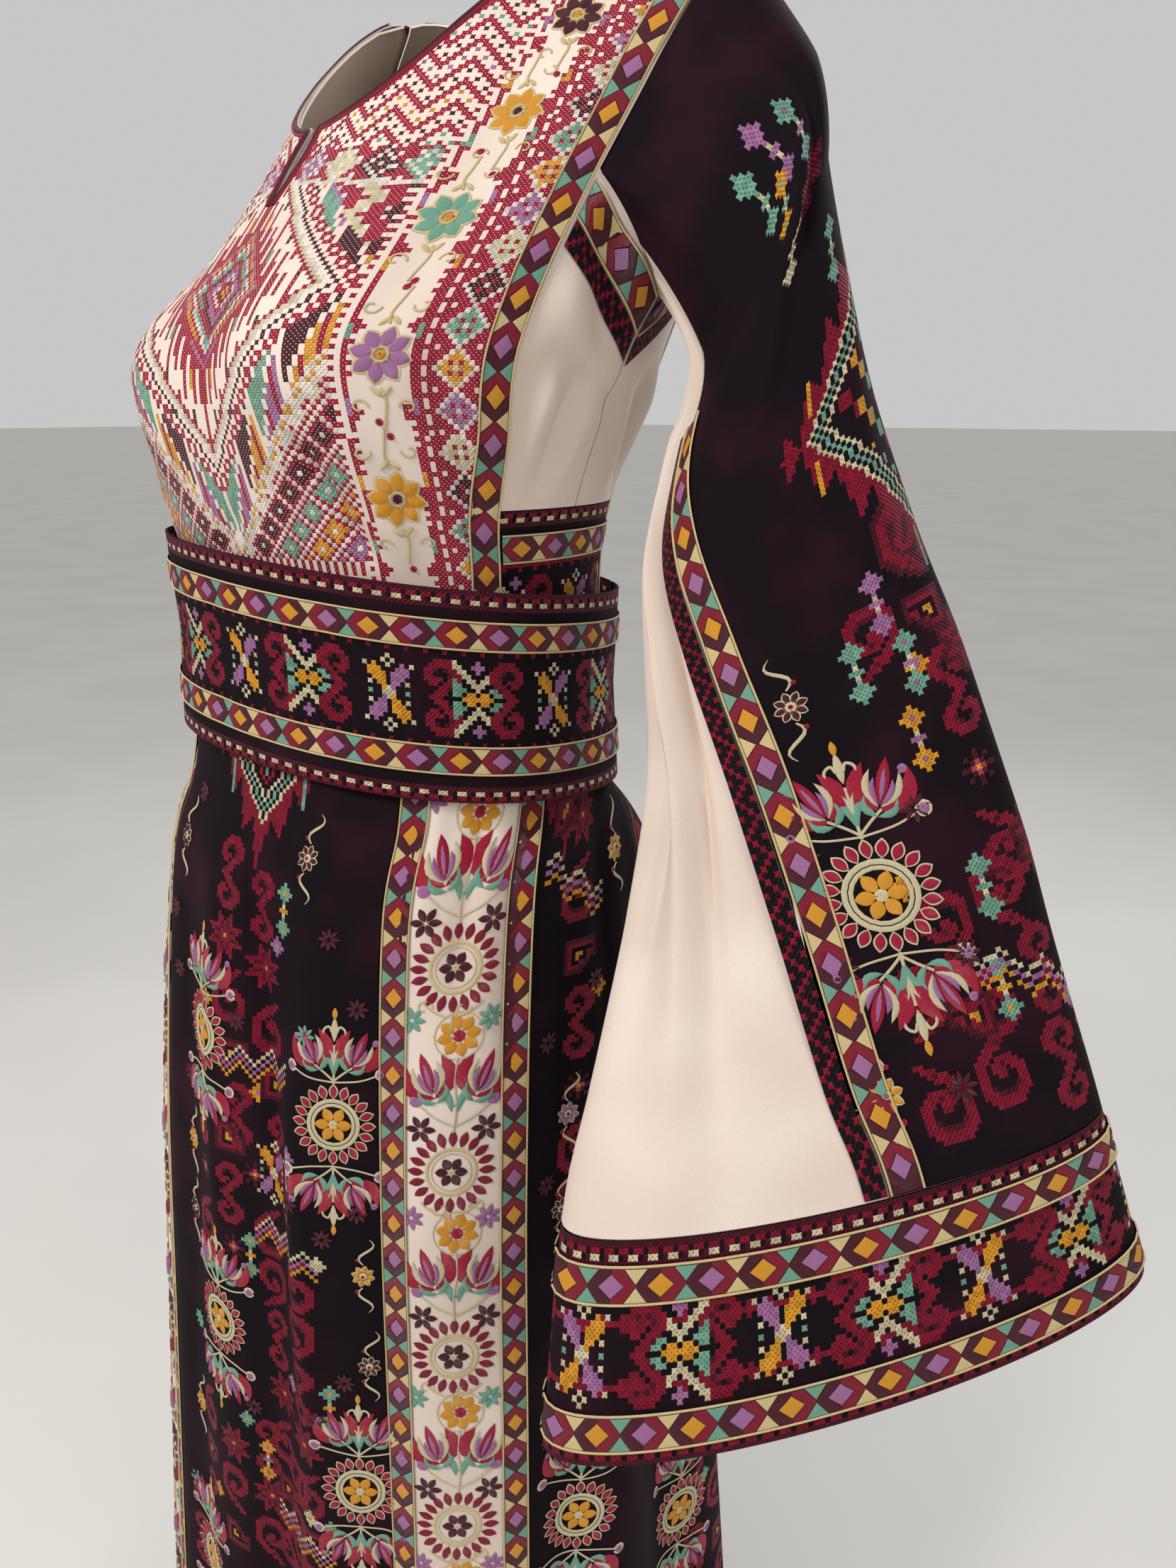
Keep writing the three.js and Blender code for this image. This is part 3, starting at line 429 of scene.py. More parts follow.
# ---------------------------------------------------------------- threads and charts
THREADS = {
    ".": (0, 0, 0), "C": (166, 18, 54), "M": (76, 18, 34), "S": (118, 170, 148), "G": (224, 156, 44),
    "L": (168, 112, 160), "W": (216, 204, 166), "I": (236, 226, 216), "P": (78, 16, 34),
    "B": (134, 18, 44), "K": (20, 12, 18), "D": (222, 200, 144), "E": (170, 66, 92),
}
LETTERS = "".join(THREADS)
COLOURS = np.array([THREADS[k] for k in LETTERS]) / 255
CRIMSON, WHITE = LETTERS.index("C"), LETTERS.index("I")
CELL = 2.6  # one cross-stitch


def pick(pattern, n):
    """The thread codes of a repeating row of letters, at whole numbers n."""
    codes = np.array([LETTERS.index(k) for k in pattern])
    return codes[np.asarray(n) % len(codes)]


BELT_STAR = """
.....W..... ....W.W.... W.G..W..L.W .GGG...LLL. .GGGG.LLLL. ..GGG.LLL.. .W.GG.LL.W. ....GWL....
.S..WWW..S. ....LWG.... .W.LL.GG.W. ..LLL.GGG.. .LLLL.GGGG. .LLL...GGG. W.L..W..G.W ....W.W....
.....W.....
"""
BELT_SCROLL = """
..BBBB.. .BBBBBB. BBBP.PBB BBP...BB BBB.BBBB .BBB.BB. ..PBB... ...BBB.. ....BBB. ...BBB.. ..PBB...
.BBB.BB. BBB.BBBB BBP...BB BBBP.PBB .BBBBBB. ..BBBB..
"""
BELT_FLOWER = """
W....L....W WW..LLL..WW .WW..L..WW. ..WW...WW.. S..WW.WW..S SS..WWW..SS SSS..W..SSS SS.GG.GG.SS
..GGGGGGG.. SS.GG.GG.SS SSS..W..SSS SS..WWW..SS S..WW.WW..S ..WW...WW.. .WW..L..WW. WW..LLL..WW
W....L....W
"""
HOOK = """
...BBBBBB... ..BBBBBBBB.. .BBBPPPPBBB. .BBP....PBB. .BB......BB. .BB..BB..BB. .BBB.BBB.BB.
..BBBPBB.BB. ...BBBB.BBB. .......BBB.. .....BBBB... ....BPBB.... ...BBB...... ..BB........
"""
SMALL_STAR = "...M... .M.M.M. ..MEM.. MMEGEMM ..MEM.. .M.M.M. ...M..."
SAGE_STAR = "...S... .S.S.S. ..SWS.. SSWGWSS ..SWS.. .S.S.S. ...S..."
EIGHT_STAR = """
...B...B... ...BB.BB... ...BPBPB... BBBBPBPBBBB .BPPBBBPPB. ..BBBGBBB.. .BPPBBBPPB. BBBBPBPBBBB
...BPBPB... ...BB.BB... ...B...B...
"""
DIAMONDS = "..S.. .SSS. SSGSS .SSS. ..S.. ..W.. .GGG. ..W.. ..S.. .SSS. SSGSS .SSS. ..S.."
DIAMOND = "..S.. .SSS. SSGSS .SSS. ..S.."
L_BLOCK = """
PPPPPPPPP PBBBBBBBP PB......P PB.GG.BBP PB.G..BPP PB..BPP.. PBBBPP... PPPPP....
"""


class Canvas:
    """Cross-stitch cells of a flat cloth, from x0 to x1 and down to height; 0 is bare ground."""

    def __init__(self, x0, x1, height):
        self.first = math.floor(x0 / CELL - 0.5)
        self.columns = math.ceil(x1 / CELL + 0.5) - self.first
        self.rows = math.ceil(height / CELL)
        self.codes = np.zeros((self.rows, self.columns), np.uint8)
        self.i, self.j = np.meshgrid(np.arange(self.columns) + self.first + 1, np.arange(self.rows))

    def corners(self):
        xs = (self.first + 0.5 + np.arange(self.columns + 1)) * CELL
        return np.meshgrid(xs, np.arange(self.rows + 1) * CELL)

    def stamp(self, chart, x, y, flip_x=False, flip_y=False, swap=None, outline=None):
        """Puts a chart's middle at a place; swap exchanges letters, outline adds a row round it."""
        swap = swap or {}
        grid = np.array([[LETTERS.index(swap.get(k, k)) for k in line] for line in chart.split()])
        if flip_x:
            grid = grid[:, ::-1]
        if flip_y:
            grid = grid[::-1]
        if outline:
            grid = np.pad(grid, 1)
            steps = [(down, across) for down in (-1, 0, 1) for across in (-1, 0, 1)]
            near = sum(np.roll(grid, step, (0, 1)) for step in steps) > 0
            grid = np.where(grid > 0, grid, near * LETTERS.index(outline))
        h, w = grid.shape
        c = round(x / CELL) - self.first - 1 - w // 2
        r = round(y / CELL) - h // 2
        r0, c0 = max(r, 0), max(c, 0)
        r1, c1 = min(r + h, self.rows), min(c + w, self.columns)
        if r1 <= r0 or c1 <= c0:
            return
        part = grid[r0 - r : r1 - r, c0 - c : c1 - c]
        area = self.codes[r0:r1, c0:c1]
        area[part > 0] = part[part > 0]

    def carpet(self, middle, half, y0, y1, start):
        """Wine scrolls, close together, in a strip of the cloth round middle(y). start is where the
        rows begin in the order of charts."""
        pieces = [HOOK, BELT_SCROLL, EIGHT_STAR, HOOK, L_BLOCK, BELT_SCROLL, SMALL_STAR, HOOK]
        n, y = start, y0
        while y < y1:
            wide = half(y)
            count = max(int(2 * wide / (11.5 * CELL)), 1)
            for k in range(count):
                x = middle(y) - wide + (k + 0.5) * 2 * wide / count
                chart = pieces[(n * 5 + k * 3) % len(pieces)]
                self.stamp(chart, x, y + 3 * (k % 2) * CELL, (n + k) % 2 == 1, (n + k // 2) % 2 == 1)
                if (n + 2 * k) % 5 == 0:
                    swap = {"S": "SGLW"[(n + k) % 4], "G": "GLSG"[n % 4]}
                    self.stamp(DIAMOND, x + 5 * CELL, y - 7 * CELL, swap=swap)
            y += 15 * CELL
            n += 1


def tri(n, period):
    """A triangle wave, from 0 to half of its period."""
    return np.abs(n % period - period // 2)


def net(i, j):
    """White dots on crimson, as a net."""
    dots = ((i + j) % 4 == 0) & ((i - j) % 4 == 0)
    return np.where(dots, 0, CRIMSON)


def lattice(i, j):
    """Diagonal chains of rosettes on crimson, with white dots between them."""
    a, b = (i + j) % 8, (i - j) % 8
    out = np.where((a == 0) & (b % 2 == 0) | (b == 0) & (a % 2 == 0), WHITE, CRIMSON)
    near = (np.abs(a - 4) <= 2) & (np.abs(b - 4) <= 2)
    out = np.where(near, pick("SGLWM", (i + j) // 8), out)
    return np.where((a == 4) & (b == 4), WHITE, out)


def rosette_column(q, j):
    """The net with one column of rosettes down its middle, q cells away."""
    m = (j + 4) % 8 - 4
    away = np.abs(q) + np.abs(m)
    out = np.where(away <= 3, pick("LWMSG", (j + 4) // 8), net(q, j))
    out = np.where((away == 0) | (away == 4), WHITE, out)
    return np.where((np.abs(q) == 1) & (np.abs(m) == 1), CRIMSON, out)


def spikes(i):
    """How many cells the teeth of a serrated edge reach out."""
    return 2 * tri(i, 6)


STRIP_AT = ((60, 89, 150, 209, 290, 360, 430), (147, 139, 124, 113, 115, 111, 107))


def strip_middle(y):
    """The middle of the floral strip on the bodice."""
    return np.interp(y, *STRIP_AT)


DIAMOND_Y, DIAMOND_EDGE = 248, 34  # the middle diamond's centre, and its half width in cells
GOLD_LINE = 48  # cells from that centre
PATTERN_FOOT = 392


def front_stitches(canvas):
    """The bodice front's cross-stitch. k counts cells outwards from the middle diamond's centre."""
    i, j = np.abs(canvas.i), canvas.j
    x, y = i * CELL, j * CELL
    line = 180 + 0.13 * x
    # parallel zigzags below the neckline, then a row of rosettes
    zig = j + tri(i, 12)
    out = np.where(zig % 5 < 2, CRIMSON, 0)
    out = np.where((zig % 5 == 3) & (i % 2 == 0), pick("MSMLMG", zig // 5), out)
    q, row = (i + 4) % 9 - 4, np.rint((line - 12) / CELL).astype(int)
    away = np.abs(q) + np.abs(j - row)
    band = np.abs(j - row) < 5
    out = np.where(band, np.where(away <= 4, pick("GLWMSG", (i + 4) // 9), net(i, j)), out)
    out = np.where(band & ((away == 0) | (away == 3)), WHITE, out)
    # nested diamonds on the centre line
    centre = round(DIAMOND_Y / CELL)
    k = np.rint(i + np.abs(j - centre) * np.where(j < centre, 0.97, 0.86)).astype(int)
    inner = pick("GGMCILLMCSSICGLCI...........CWI.M.C.", np.clip(k, 0, 35))
    inner = np.where((k < 15) & ((i + j - centre) % 5 == 0), CRIMSON, inner)
    reach = np.select([i % 3 == 0, i % 3 == 1], [9, 5], 0) - 2 * (i % 6 == 3)
    flame = (k >= 16) & (k < 17 + reach)
    inner = np.where(flame, np.where((i % 9 == 4) & (k > 18), pick("GSL", i // 9), CRIMSON), inner)
    inner = np.where((k > 25) & (k < 28) & (i % 4 == 0), pick("CMC", j // 3), inner)
    inner = np.where((k >= 31) & (k <= 33) & (k % 2 == 1) & (j % 2 == 0), 0, inner)
    stair = (k >= DIAMOND_EDGE) & (k < DIAMOND_EDGE + 3)
    # flags outside them, with white lines between, then a gold chain line
    row, depth = divmod(k - DIAMOND_EDGE - 3, 11)
    local = i % 9
    split = depth + local * 1.2 - 10
    flag = np.where(split < 0, pick("SMSM", i // 9 + row), pick("LGLG", i // 9 + row))
    striped = (flag == LETTERS.index("G")) | (flag == LETTERS.index("L"))
    flag = np.where(striped & (i % 3 == 1), CRIMSON, flag)
    flag = np.where((np.abs(split) < 0.9) | (local == 0), 0, flag)
    # stacked rosettes in zigzag columns above the middle
    chain = i + tri(j, 8)
    dotted = np.where(j % 2 == 0, CRIMSON, WHITE)
    stacked = np.where(chain % 4 == 0, dotted, pick("CSCGCLCWCM", chain // 4))
    flag = np.where((j < centre - 2) & (k > 40), stacked, flag)
    worked = np.where(k < 34, inner, np.where(stair, np.where((i + k) % 3 > 0, CRIMSON, 0), flag))
    gold = np.where(k == GOLD_LINE, pick("GIG", j), WHITE)
    worked = np.where((np.abs(k - GOLD_LINE) <= 1) & (j > centre), gold, worked)
    worked = np.where((k > 49) & (j > centre), lattice(i, j), worked)
    worked = np.where((k > 49) & (k < 53) & (k < 50 + tri(i, 4)) & (j > centre), WHITE, worked)
    below = y > line
    out = np.where(below, worked, out)
    out = np.where((y > line - 3) & (y <= line), WHITE, out)
    # floral strip with house-pointed edges, a toothed double line and the outer lattice
    off = (x - strip_middle(y)) / CELL
    house = np.maximum(2 - tri(j, 16), 0) + 0.5 * (j % 2)
    strip = np.abs(off) < 6.5
    edge = np.abs(off) > 5.6 - house
    out = np.where((off > -8.5) & (off < 6.5), 0, out)
    out = np.where(strip & edge, CRIMSON, out)
    out = np.where((off <= -7.5) & (off > -8.5), np.where(j % 2 == 0, CRIMSON, 0), out)
    out = np.where((tri(j, 14) < 2) & (np.abs(np.abs(off) - 6) < 0.6), pick("GSL", j // 14), out)
    out = np.where((off >= 6.5) & (off < 9.5), np.where((off < 7.5) | (j % 3 == 0), CRIMSON, 0), out)
    out = np.where((off >= 8.5) & (off < 9.5), CRIMSON, out)
    out = np.where(off >= 9.5, rosette_column(np.rint(off - 14).astype(int), j), out)
    foot = (y > PATTERN_FOOT) & (off < -8)
    canvas.codes[:] = np.where(foot, np.where((y <= PATTERN_FOOT + 8) & (i % 2 == 0), CRIMSON, 0), out)


BAND_REPEAT = 38
BAND_CHARTS = ((BELT_STAR, 0, False), (BELT_SCROLL, 11.5, True), (BELT_FLOWER, 19, False),
               (BELT_SCROLL, 26.5, False))


def band_stitches(canvas, height):
    """The belt's, cuffs' and waist bands' rows: edges, dots, zigzags and a row of charts."""
    from_edge = np.minimum(canvas.j, round(height / CELL) - 1 - canvas.j)
    i = canvas.i
    bright, wine, cream = (LETTERS.index(k) for k in "BPW")
    out = np.where((from_edge == 0) | (from_edge == 3), wine, 0)
    out = np.where((from_edge == 1) & (i % 3 > 0), bright, out)
    out = np.where(from_edge == 2, np.where(i % 4 < 2, cream, wine * (i % 4 == 2)), out)
    zigzag = (from_edge >= 11) & (from_edge < 14)
    out = np.where(zigzag & ((from_edge == 12) | (i % 4 == from_edge % 2 * 2)), bright, out)
    canvas.codes[:] = out
    first, last = canvas.first // BAND_REPEAT - 1, (canvas.first + canvas.columns) // BAND_REPEAT + 1
    for n in range(first, last + 1):
        for chart, cells, mirrored in BAND_CHARTS:
            x = (n * BAND_REPEAT + cells) * CELL
            canvas.stamp(chart, x, height / 2 - CELL / 2, flip_x=mirrored)


def serrated(canvas, x, y, size):
    """A nested diamond with upright teeth, on velvet; size is its half width in cells."""
    i = np.abs(canvas.i - round(x / CELL))
    j = canvas.j - round(y / CELL)
    k = np.rint(i + np.abs(j) * 0.8).astype(int)
    inward = size - k
    out = pick("..W.S.W.", np.clip(inward - 5, 0, 7))
    out = np.where(inward > 12, 0, out)
    out = np.where((k < 9) & (inward > 12), pick("LLCC.SS.C", np.clip(k, 0, 8)), out)
    out = np.where((inward > 12) & (k >= 12) & ((i // 3 + j // 3) % 3 == 0), pick("SGB", i // 4), out)
    out = np.where(inward <= 6, 0, out)
    out = np.where((inward <= 6) & (inward > 4 - spikes(i)), LETTERS.index("B"), out)
    out = np.where((inward <= 4) & (inward > 4 - spikes(i)) & (i % 9 == 3), pick("GSL", i // 9), out)
    canvas.codes[:] = np.where(out > 0, out, canvas.codes)


def zigzag_band(canvas, x0, x1, y, slope=0.0):
    """Three zigzag lines across the cloth from x0 to x1."""
    n = canvas.j - round(y / CELL) - np.rint((canvas.i * CELL - x0) * slope / CELL).astype(int)
    n = n + tri(canvas.i, 8)
    here = (n >= 0) & (n < 6) & (canvas.i * CELL > x0) & (canvas.i * CELL < x1)
    canvas.codes[:] = np.where(here & (n % 2 == 0), pick("WLG", n // 2), canvas.codes)


# ---------------------------------------------------------------- low relief: satin stitch
class Satin:
    """Satin stitch laid on a cloth; shapes are given on the flat cloth, in millimetres."""

    def __init__(self, base):
        self.parts, self.faces, self.codes, self.count = [], [], [], 0
        self.root, self.base = self, base
        self.x, self.y, self.c, self.s, self.size, self.flip = 0, 0, 1, 0, 1, 1

    def moved(self, x, y, turn=0.0, size=1.0, flip=1):
        """The same work, with what is added to it placed, turned, scaled and mirrored."""
        other = copy.copy(self)
        other.x, other.y, other.size, other.flip = x, y, size, flip
        other.c, other.s = math.cos(turn), math.sin(turn)
        return other

    def add(self, points, faces, letter):
        """points are (x, y, height, along, across); faces are quads."""
        root = self.root
        p = np.array(points, float)
        x, y = p[:, 0] * self.size * self.flip, p[:, 1] * self.size
        p[:, 0], p[:, 1] = self.x + self.c * x - self.s * y, self.y + self.s * x + self.c * y
        p[:, 2] += self.base
        root.parts.append(p)
        root.faces.append(np.array(faces) + root.count)
        root.codes.append(np.full(len(faces), LETTERS.index(letter)))
        root.count += len(p)

    def line(self, path, width, letter, height=0.7):
        """A ridge along a path. A short path is a row of marks for a smooth curve."""
        path = np.array(path, float)
        if np.ndim(width) == 0 and 2 < len(path) < 8:
            t = np.linspace(0, len(path) - 1, 4 * len(path))
            path = np.stack([through(column, t) for column in path.T], 1)
        d = unit(np.gradient(path, axis=0))
        side = np.stack((-d[:, 1], d[:, 0]), 1)
        width = np.broadcast_to(np.asarray(width, float), len(path))
        along = lengths_along(path)
        points = []
        for n in range(len(path)):
            for share, up in ((-0.5, 0), (0, height), (0.5, 0)):
                q = path[n] + side[n] * share * width[n]
                points.append((*q, up * min(width[n], 1.5) / 1.5, along[n], share * width[n]))
        starts = [3 * n + k for n in range(len(path) - 1) for k in (0, 1)]
        faces = [(a, a + 3, a + 4, a + 1) for a in starts]
        self.add(points, faces, letter)

    def leaf(self, x0, y0, x1, y1, width, letter, height=0.9, bend=0.0):
        t = np.linspace(0, 1, 7)
        nx, ny = -(y1 - y0), x1 - x0
        bow = bend * np.sin(math.pi * t)
        path = np.stack((mix(x0, x1, t) + nx * bow, mix(y0, y1, t) + ny * bow), 1)
        self.line(path, width * np.maximum(np.sin(math.pi * t) ** 0.8, 0.03), letter, height)

    def ring(self, x, y, radius, width, letter, height=0.6, n=20):
        a = np.linspace(0, 2 * math.pi, n + 1)
        self.line(np.stack((x + radius * np.cos(a), y + radius * np.sin(a)), 1), width, letter, height)

    def dot(self, x, y, radius, letter, height=0.9):
        self.ring(x, y, radius * 0.5, radius, letter, height, n=10)

    def petals(self, x, y, r0, r1, width, letter, n, start=0.0, height=0.9):
        for k in range(n):
            a = start + 2 * math.pi * k / n
            c, s = math.cos(a), math.sin(a)
            self.leaf(x + r0 * c, y + r0 * s, x + r1 * c, y + r1 * s, width, letter, height)

    def curl(self, x, y, radius, start, turns, letter, width=1.2):
        t = np.linspace(0, 1, 12)
        a = start + turns * 2 * math.pi * t
        r = radius * (1 - 0.75 * t)
        cx, cy = x - radius * math.cos(start), y - radius * math.sin(start)
        self.line(np.stack((cx + r * np.cos(a), cy + r * np.sin(a)), 1), width, letter, 0.6)

    def patch(self, corners, letter, height=0.6):
        """A pillow over a flat polygon, in quads round its middle."""
        c = np.array(corners, float)
        m = c.mean(axis=0)
        mids = (c + np.roll(c, -1, axis=0)) / 2
        points = [(*m, height, m[0], m[1])]
        points += [(*p, 0, p[0], p[1]) for p in c]
        points += [(*p, 0.12, p[0], p[1]) for p in mids]
        n = len(c)
        faces = [(0, 1 + n + (k - 1) % n, 1 + k, 1 + n + k) for k in range(n)]
        self.add(points, faces, letter)

    def medallion(self, r):
        """Crimson rays outlined in cream, round two cream rings and a gold flower."""
        self.petals(0, 0, r * 0.66, r * 1.03, r * 0.235, "W", 20, height=0.3)
        self.petals(0, 0, r * 0.68, r, r * 0.19, "C", 20, height=1.1)
        self.ring(0, 0, r * 0.61, r * 0.1, "W")
        self.ring(0, 0, r * 0.5, r * 0.08, "W")
        self.petals(0, 0, r * 0.08, r * 0.46, r * 0.26, "G", 6)
        self.dot(0, 0, r * 0.12, "W")

    def tulip(self, x, y, lean, size=1.0):
        w = self.moved_within(x, y, lean, size)
        for k in (-1, 1):
            w.leaf(0, 11, k * 11, -13, 9.5, "C", 1.0, bend=k * 0.26)
            w.leaf(k * 0.5, 9, k * 7, -10, 4.4, "W", 1.5, bend=k * 0.2)
            w.leaf(k * 0.5, 8, k * 4.5, -6, 3.4, "L", 1.9, bend=k * 0.14)
            w.leaf(0, 14, k * 8, 3, 4.6, "S", 1.7, bend=k * 0.22)
        w.leaf(0, 8, 0, -17, 6.6, "C", 1.2)
        w.leaf(0, 7, 0, -13, 4, "L", 1.8)

    def moved_within(self, x, y, turn, size=1.0):
        """The same work, moved from where it already is."""
        f = self.flip
        px = self.x + self.c * x * self.size * f - self.s * y * self.size
        py = self.y + self.s * x * self.size * f + self.c * y * self.size
        own = math.atan2(self.s, self.c)
        return self.moved(px, py, own + turn * f, self.size * size, f)

    def finial(self, y):
        for side in (-1, 1):
            self.line([(0, y + 26), (side * 2, y + 14), (side * 7, y + 6), (side * 8, y - 2),
                       (side * 4, y - 5), (side * 2, y - 1)], 1.7, "W")
            self.curl(side * 11, y + 12, 5, 0 if side > 0 else math.pi, side * 0.9, "W", 1.5)
        self.leaf(0, y + 6, 0, y - 12, 5, "W")
        self.leaf(0, y - 10, 0, y - 19, 4, "G")

    def spray(self, x, y, turn, size):
        """The medallion with tulips, leaves, balls and a finial above and below it."""
        self.moved(x, y, turn, size).medallion(30)
        for half_turn in (0, math.pi):
            v = self.moved(x, y, turn + half_turn, size)
            v.line([(0, -31), (0, -45), (0, -60)], 1.8, "W")
            v.finial(-68)
            for k in (-1, 1):
                v.line([(0, -33), (k * 7, -39), (k * 14, -44)], 1.6, "W")
                v.tulip(k * 17, -54, k * 0.4, 1.05)
                v.line([(0, -32), (k * 18, -34), (k * 31, -38)], 1.3, "W")
                v.dot(k * 34, -39, 4.6, "W", 0.5)
                v.dot(k * 34, -39, 3.6, "L", 1.2)
                v.leaf(0, -36, k * 7, -52, 5, "S", bend=-k * 0.15)
                v.dot(k * 30, -62, 2.6, "L")

    def sprig(self, x, y, letter, size):
        """A small flower between two wavy cream tendrils, one above the other."""
        w = self.moved(x, y, math.pi / 2, size)
        w.petals(0, 0, 3, 10.5, 5.4, "W", 8, 0.2, 0.3)
        w.petals(0, 0, 3, 10, 4.2, letter, 8, 0.2, 1.1)
        w.dot(0, 0, 3.6, "W")
        w.dot(0, 0, 2.2, "C", 1.3)
        for side in (-1, 1):
            t = np.linspace(0, 1, 10)
            width = 2.4 * np.sin(math.pi * (0.15 + 0.8 * t))
            w.line(np.stack((side * (11 + 24 * t), 5 * np.sin(2 * math.pi * t) - 5 * t), 1), width, "W")
            w.dot(side * 15, 5, 1.8, "C")

    def rays(self, x, y, r, letter):
        """A small star of eight straight stitches."""
        self.petals(x, y, 0.8, r, r * 0.36, letter, 8)

    def ivory_repeat(self, x, y, flip, star):
        """One repeat of the flowers on an ivory panel of the skirt."""
        w = self.moved(x, y, 0, 0.925, flip)
        w.petals(0, 0, 4, 14, 7.5, "G", 8, 0.2)
        w.dot(0, 0, 4, "C")
        w.ring(0, 0, 15.5, 0.9, "D")
        w.line([(0, 14), (1, 30), (-1, 46), (0, 64)], 1.5, "W")
        for side in (-1, 1):
            w.tulip(side * 17, 29, side * 0.35, 1.12)
            w.line([(0, 46), (side * 8, 40), (side * 15, 33)], 1.3, "S")
            w.leaf(side * 2, 50, side * 11, 33, 5, "S", bend=side * -0.12)
            w.line([(0, 60), (side * 12, 54), (side * 22, 46)], 1.3, "W")
            w.dot(side * 25, 43, 4.4, "L")
            w.petals(side * 21, 62, 1, 10, 4.6, "M", 6)
            w.petals(side * 25, 124, 1, 9, 4, star, 7)
            w.curl(side * 12, 116, 6, 0, 0.8 * side, "D")
            w.line([(side * 3, 122), (side * 12, 118), (side * 19, 112)], 1.1, "D")
        w.petals(0, 91, 17.5, 28.5, 5.6, "B", 20)
        w.ring(0, 91, 15.8, 2.2, "D")
        w.ring(0, 91, 12.8, 0.9, "W")
        w.petals(0, 91, 2, 10.5, 6.2, "M", 6)
        w.dot(0, 91, 2.6, "W")
        w.line([(0, 118), (0, 126), (0, 131)], 1.5, "W")

    def strip_flower(self, x, y, letter):
        """A round flower of the bodice's strip, with a curled gold stem above and below it."""
        w = self.moved(x, y)
        w.petals(0, 0, 3.4, 15, 9, "D", 8, 0.2, 0.3)
        w.petals(0, 0, 3.4, 14.2, 7.4, letter, 8, 0.2, 1.2)
        w.ring(0, 0, 3.6, 1.6, "D", 1.4)
        w.dot(0, 0, 2.4, "M" if letter == "G" else "G", 1.4)
        for up in (-1, 1):
            w.line([(0, up * 16), (up * 1.5, up * 22), (0, up * 29), (-up * 1.5, up * 36)], 1.3, "D")
            for k in (-1, 1):
                w.curl(k * 7, up * 25, 4.5, math.pi if k > 0 else 0, up * k * 0.8, "D", 1.1)
                w.leaf(0, up * 20, k * 5, up * 15, 2.6, "D")
            w.dot(0, up * 39, 1.9, "C")


# ---------------------------------------------------------------- materials
class Shader:
    """A node material; numbers and colours that are the same all over go on the shader's sockets."""

    def __init__(self, name, **sockets):
        self.material = bpy.data.materials.new(name)
        self.material.use_nodes = True
        self.tree = self.material.node_tree
        self.bsdf = self.tree.nodes["Principled BSDF"]
        for key, value in sockets.items():
            self.bsdf.inputs[key.replace("_", " ")].default_value = value

    def node(self, kind, settings=None, **inputs):
        node = self.tree.nodes.new(kind)
        for key, value in (settings or {}).items():
            setattr(node, key, value)
        for key, value in inputs.items():
            self.put(node.inputs[int(key[1:]) if key[1:].isdigit() else key.replace("_", " ")], value)
        return node

    def put(self, socket, value):
        if isinstance(value, bpy.types.NodeSocket):
            self.tree.links.new(value, socket)
        else:
            socket.default_value = value

    def math(self, operation, a, b=0.0):
        return self.node("ShaderNodeMath", {"operation": operation}, _0=a, _1=b).outputs[0]

    def ramp(self, value, low, high, start=0.0, end=1.0):
        return self.node("ShaderNodeMapRange", {"interpolation_type": "SMOOTHSTEP"}, _0=value, _1=low,
                         _2=high, _3=start, _4=end).outputs[0]

    def blend(self, share, a, b):
        return self.node("ShaderNodeMix", {"data_type": "RGBA"}, _0=share, _6=a, _7=b).outputs[2]

    def noise(self, scale, detail):
        node = self.node("ShaderNodeTexNoise", Scale=scale, Detail=detail)
        self.put(node.inputs["Vector"], self.node("ShaderNodeTexCoord").outputs["Object"])
        return node.outputs["Fac"]

    def attribute(self, name, socket):
        return self.node("ShaderNodeAttribute", {"attribute_name": name}).outputs[socket]

    def bump(self, height, distance, strength=1.0, normal=None):
        node = self.node("ShaderNodeBump", Height=height, Distance=distance, Strength=strength)
        if normal is not None:
            self.tree.links.new(normal, node.inputs["Normal"])
        return node.outputs["Normal"]

    def finish(self, colour, normal=None, roughness=None):
        for key, value in (("Base Color", colour), ("Normal", normal), ("Roughness", roughness)):
            if value is not None:
                self.put(self.bsdf.inputs[key], value)
        return self.material


def linear(rgb):
    """A screen colour as scene-linear RGBA."""
    rgb = np.asarray(rgb, float)
    out = np.where(rgb <= 0.04045, rgb / 12.92, ((rgb + 0.055) / 1.055) ** 2.4)
    return (*out.tolist(), 1.0)


THREAD_COLOURS = np.array([linear(colour) for colour in COLOURS])
BLACK = (0.0, 0.0, 0.0, 1.0)
IVORY = np.array((226, 212, 200)) / 255
IVORY_DEEP = np.array((210, 192, 178)) / 255
VELVET_DARK = np.array((13, 6, 12)) / 255
# the plum of the velvet's painted sheen streaks, mixed into its ground colour
VELVET_PAINTED_SHEEN = np.array((38, 12, 24)) / 255


def weave(shader, pale):
    """The ground's colour and its bump height: matt crepe, or crushed velvet whose plum patches are
    painted sheen.
    """
    if pale:
        grain = shader.noise(2600, 2)
        cloud = shader.noise(9, 2)
        colour = shader.blend(shader.ramp(cloud, 0.3, 0.7), linear(IVORY), linear(IVORY_DEEP))
        dip = shader.ramp(grain, 0.2, 0.8, 0.0, 0.22)
        return shader.blend(dip, colour, linear(IVORY_DEEP * 0.8)), grain
    pile = shader.noise(3000, 2)
    # near-black velvet with noise patches of plum painted sheen, where the pile would catch the light
    painted_sheen_patches = shader.noise(16, 4)
    colour = shader.blend(shader.ramp(painted_sheen_patches, 0.42, 0.72), linear(VELVET_DARK), linear(VELVET_PAINTED_SHEEN))
    dip = shader.ramp(pile, 0.3, 0.9, 0.0, 0.35)
    return shader.blend(dip, colour, linear(VELVET_DARK * 0.5)), pile


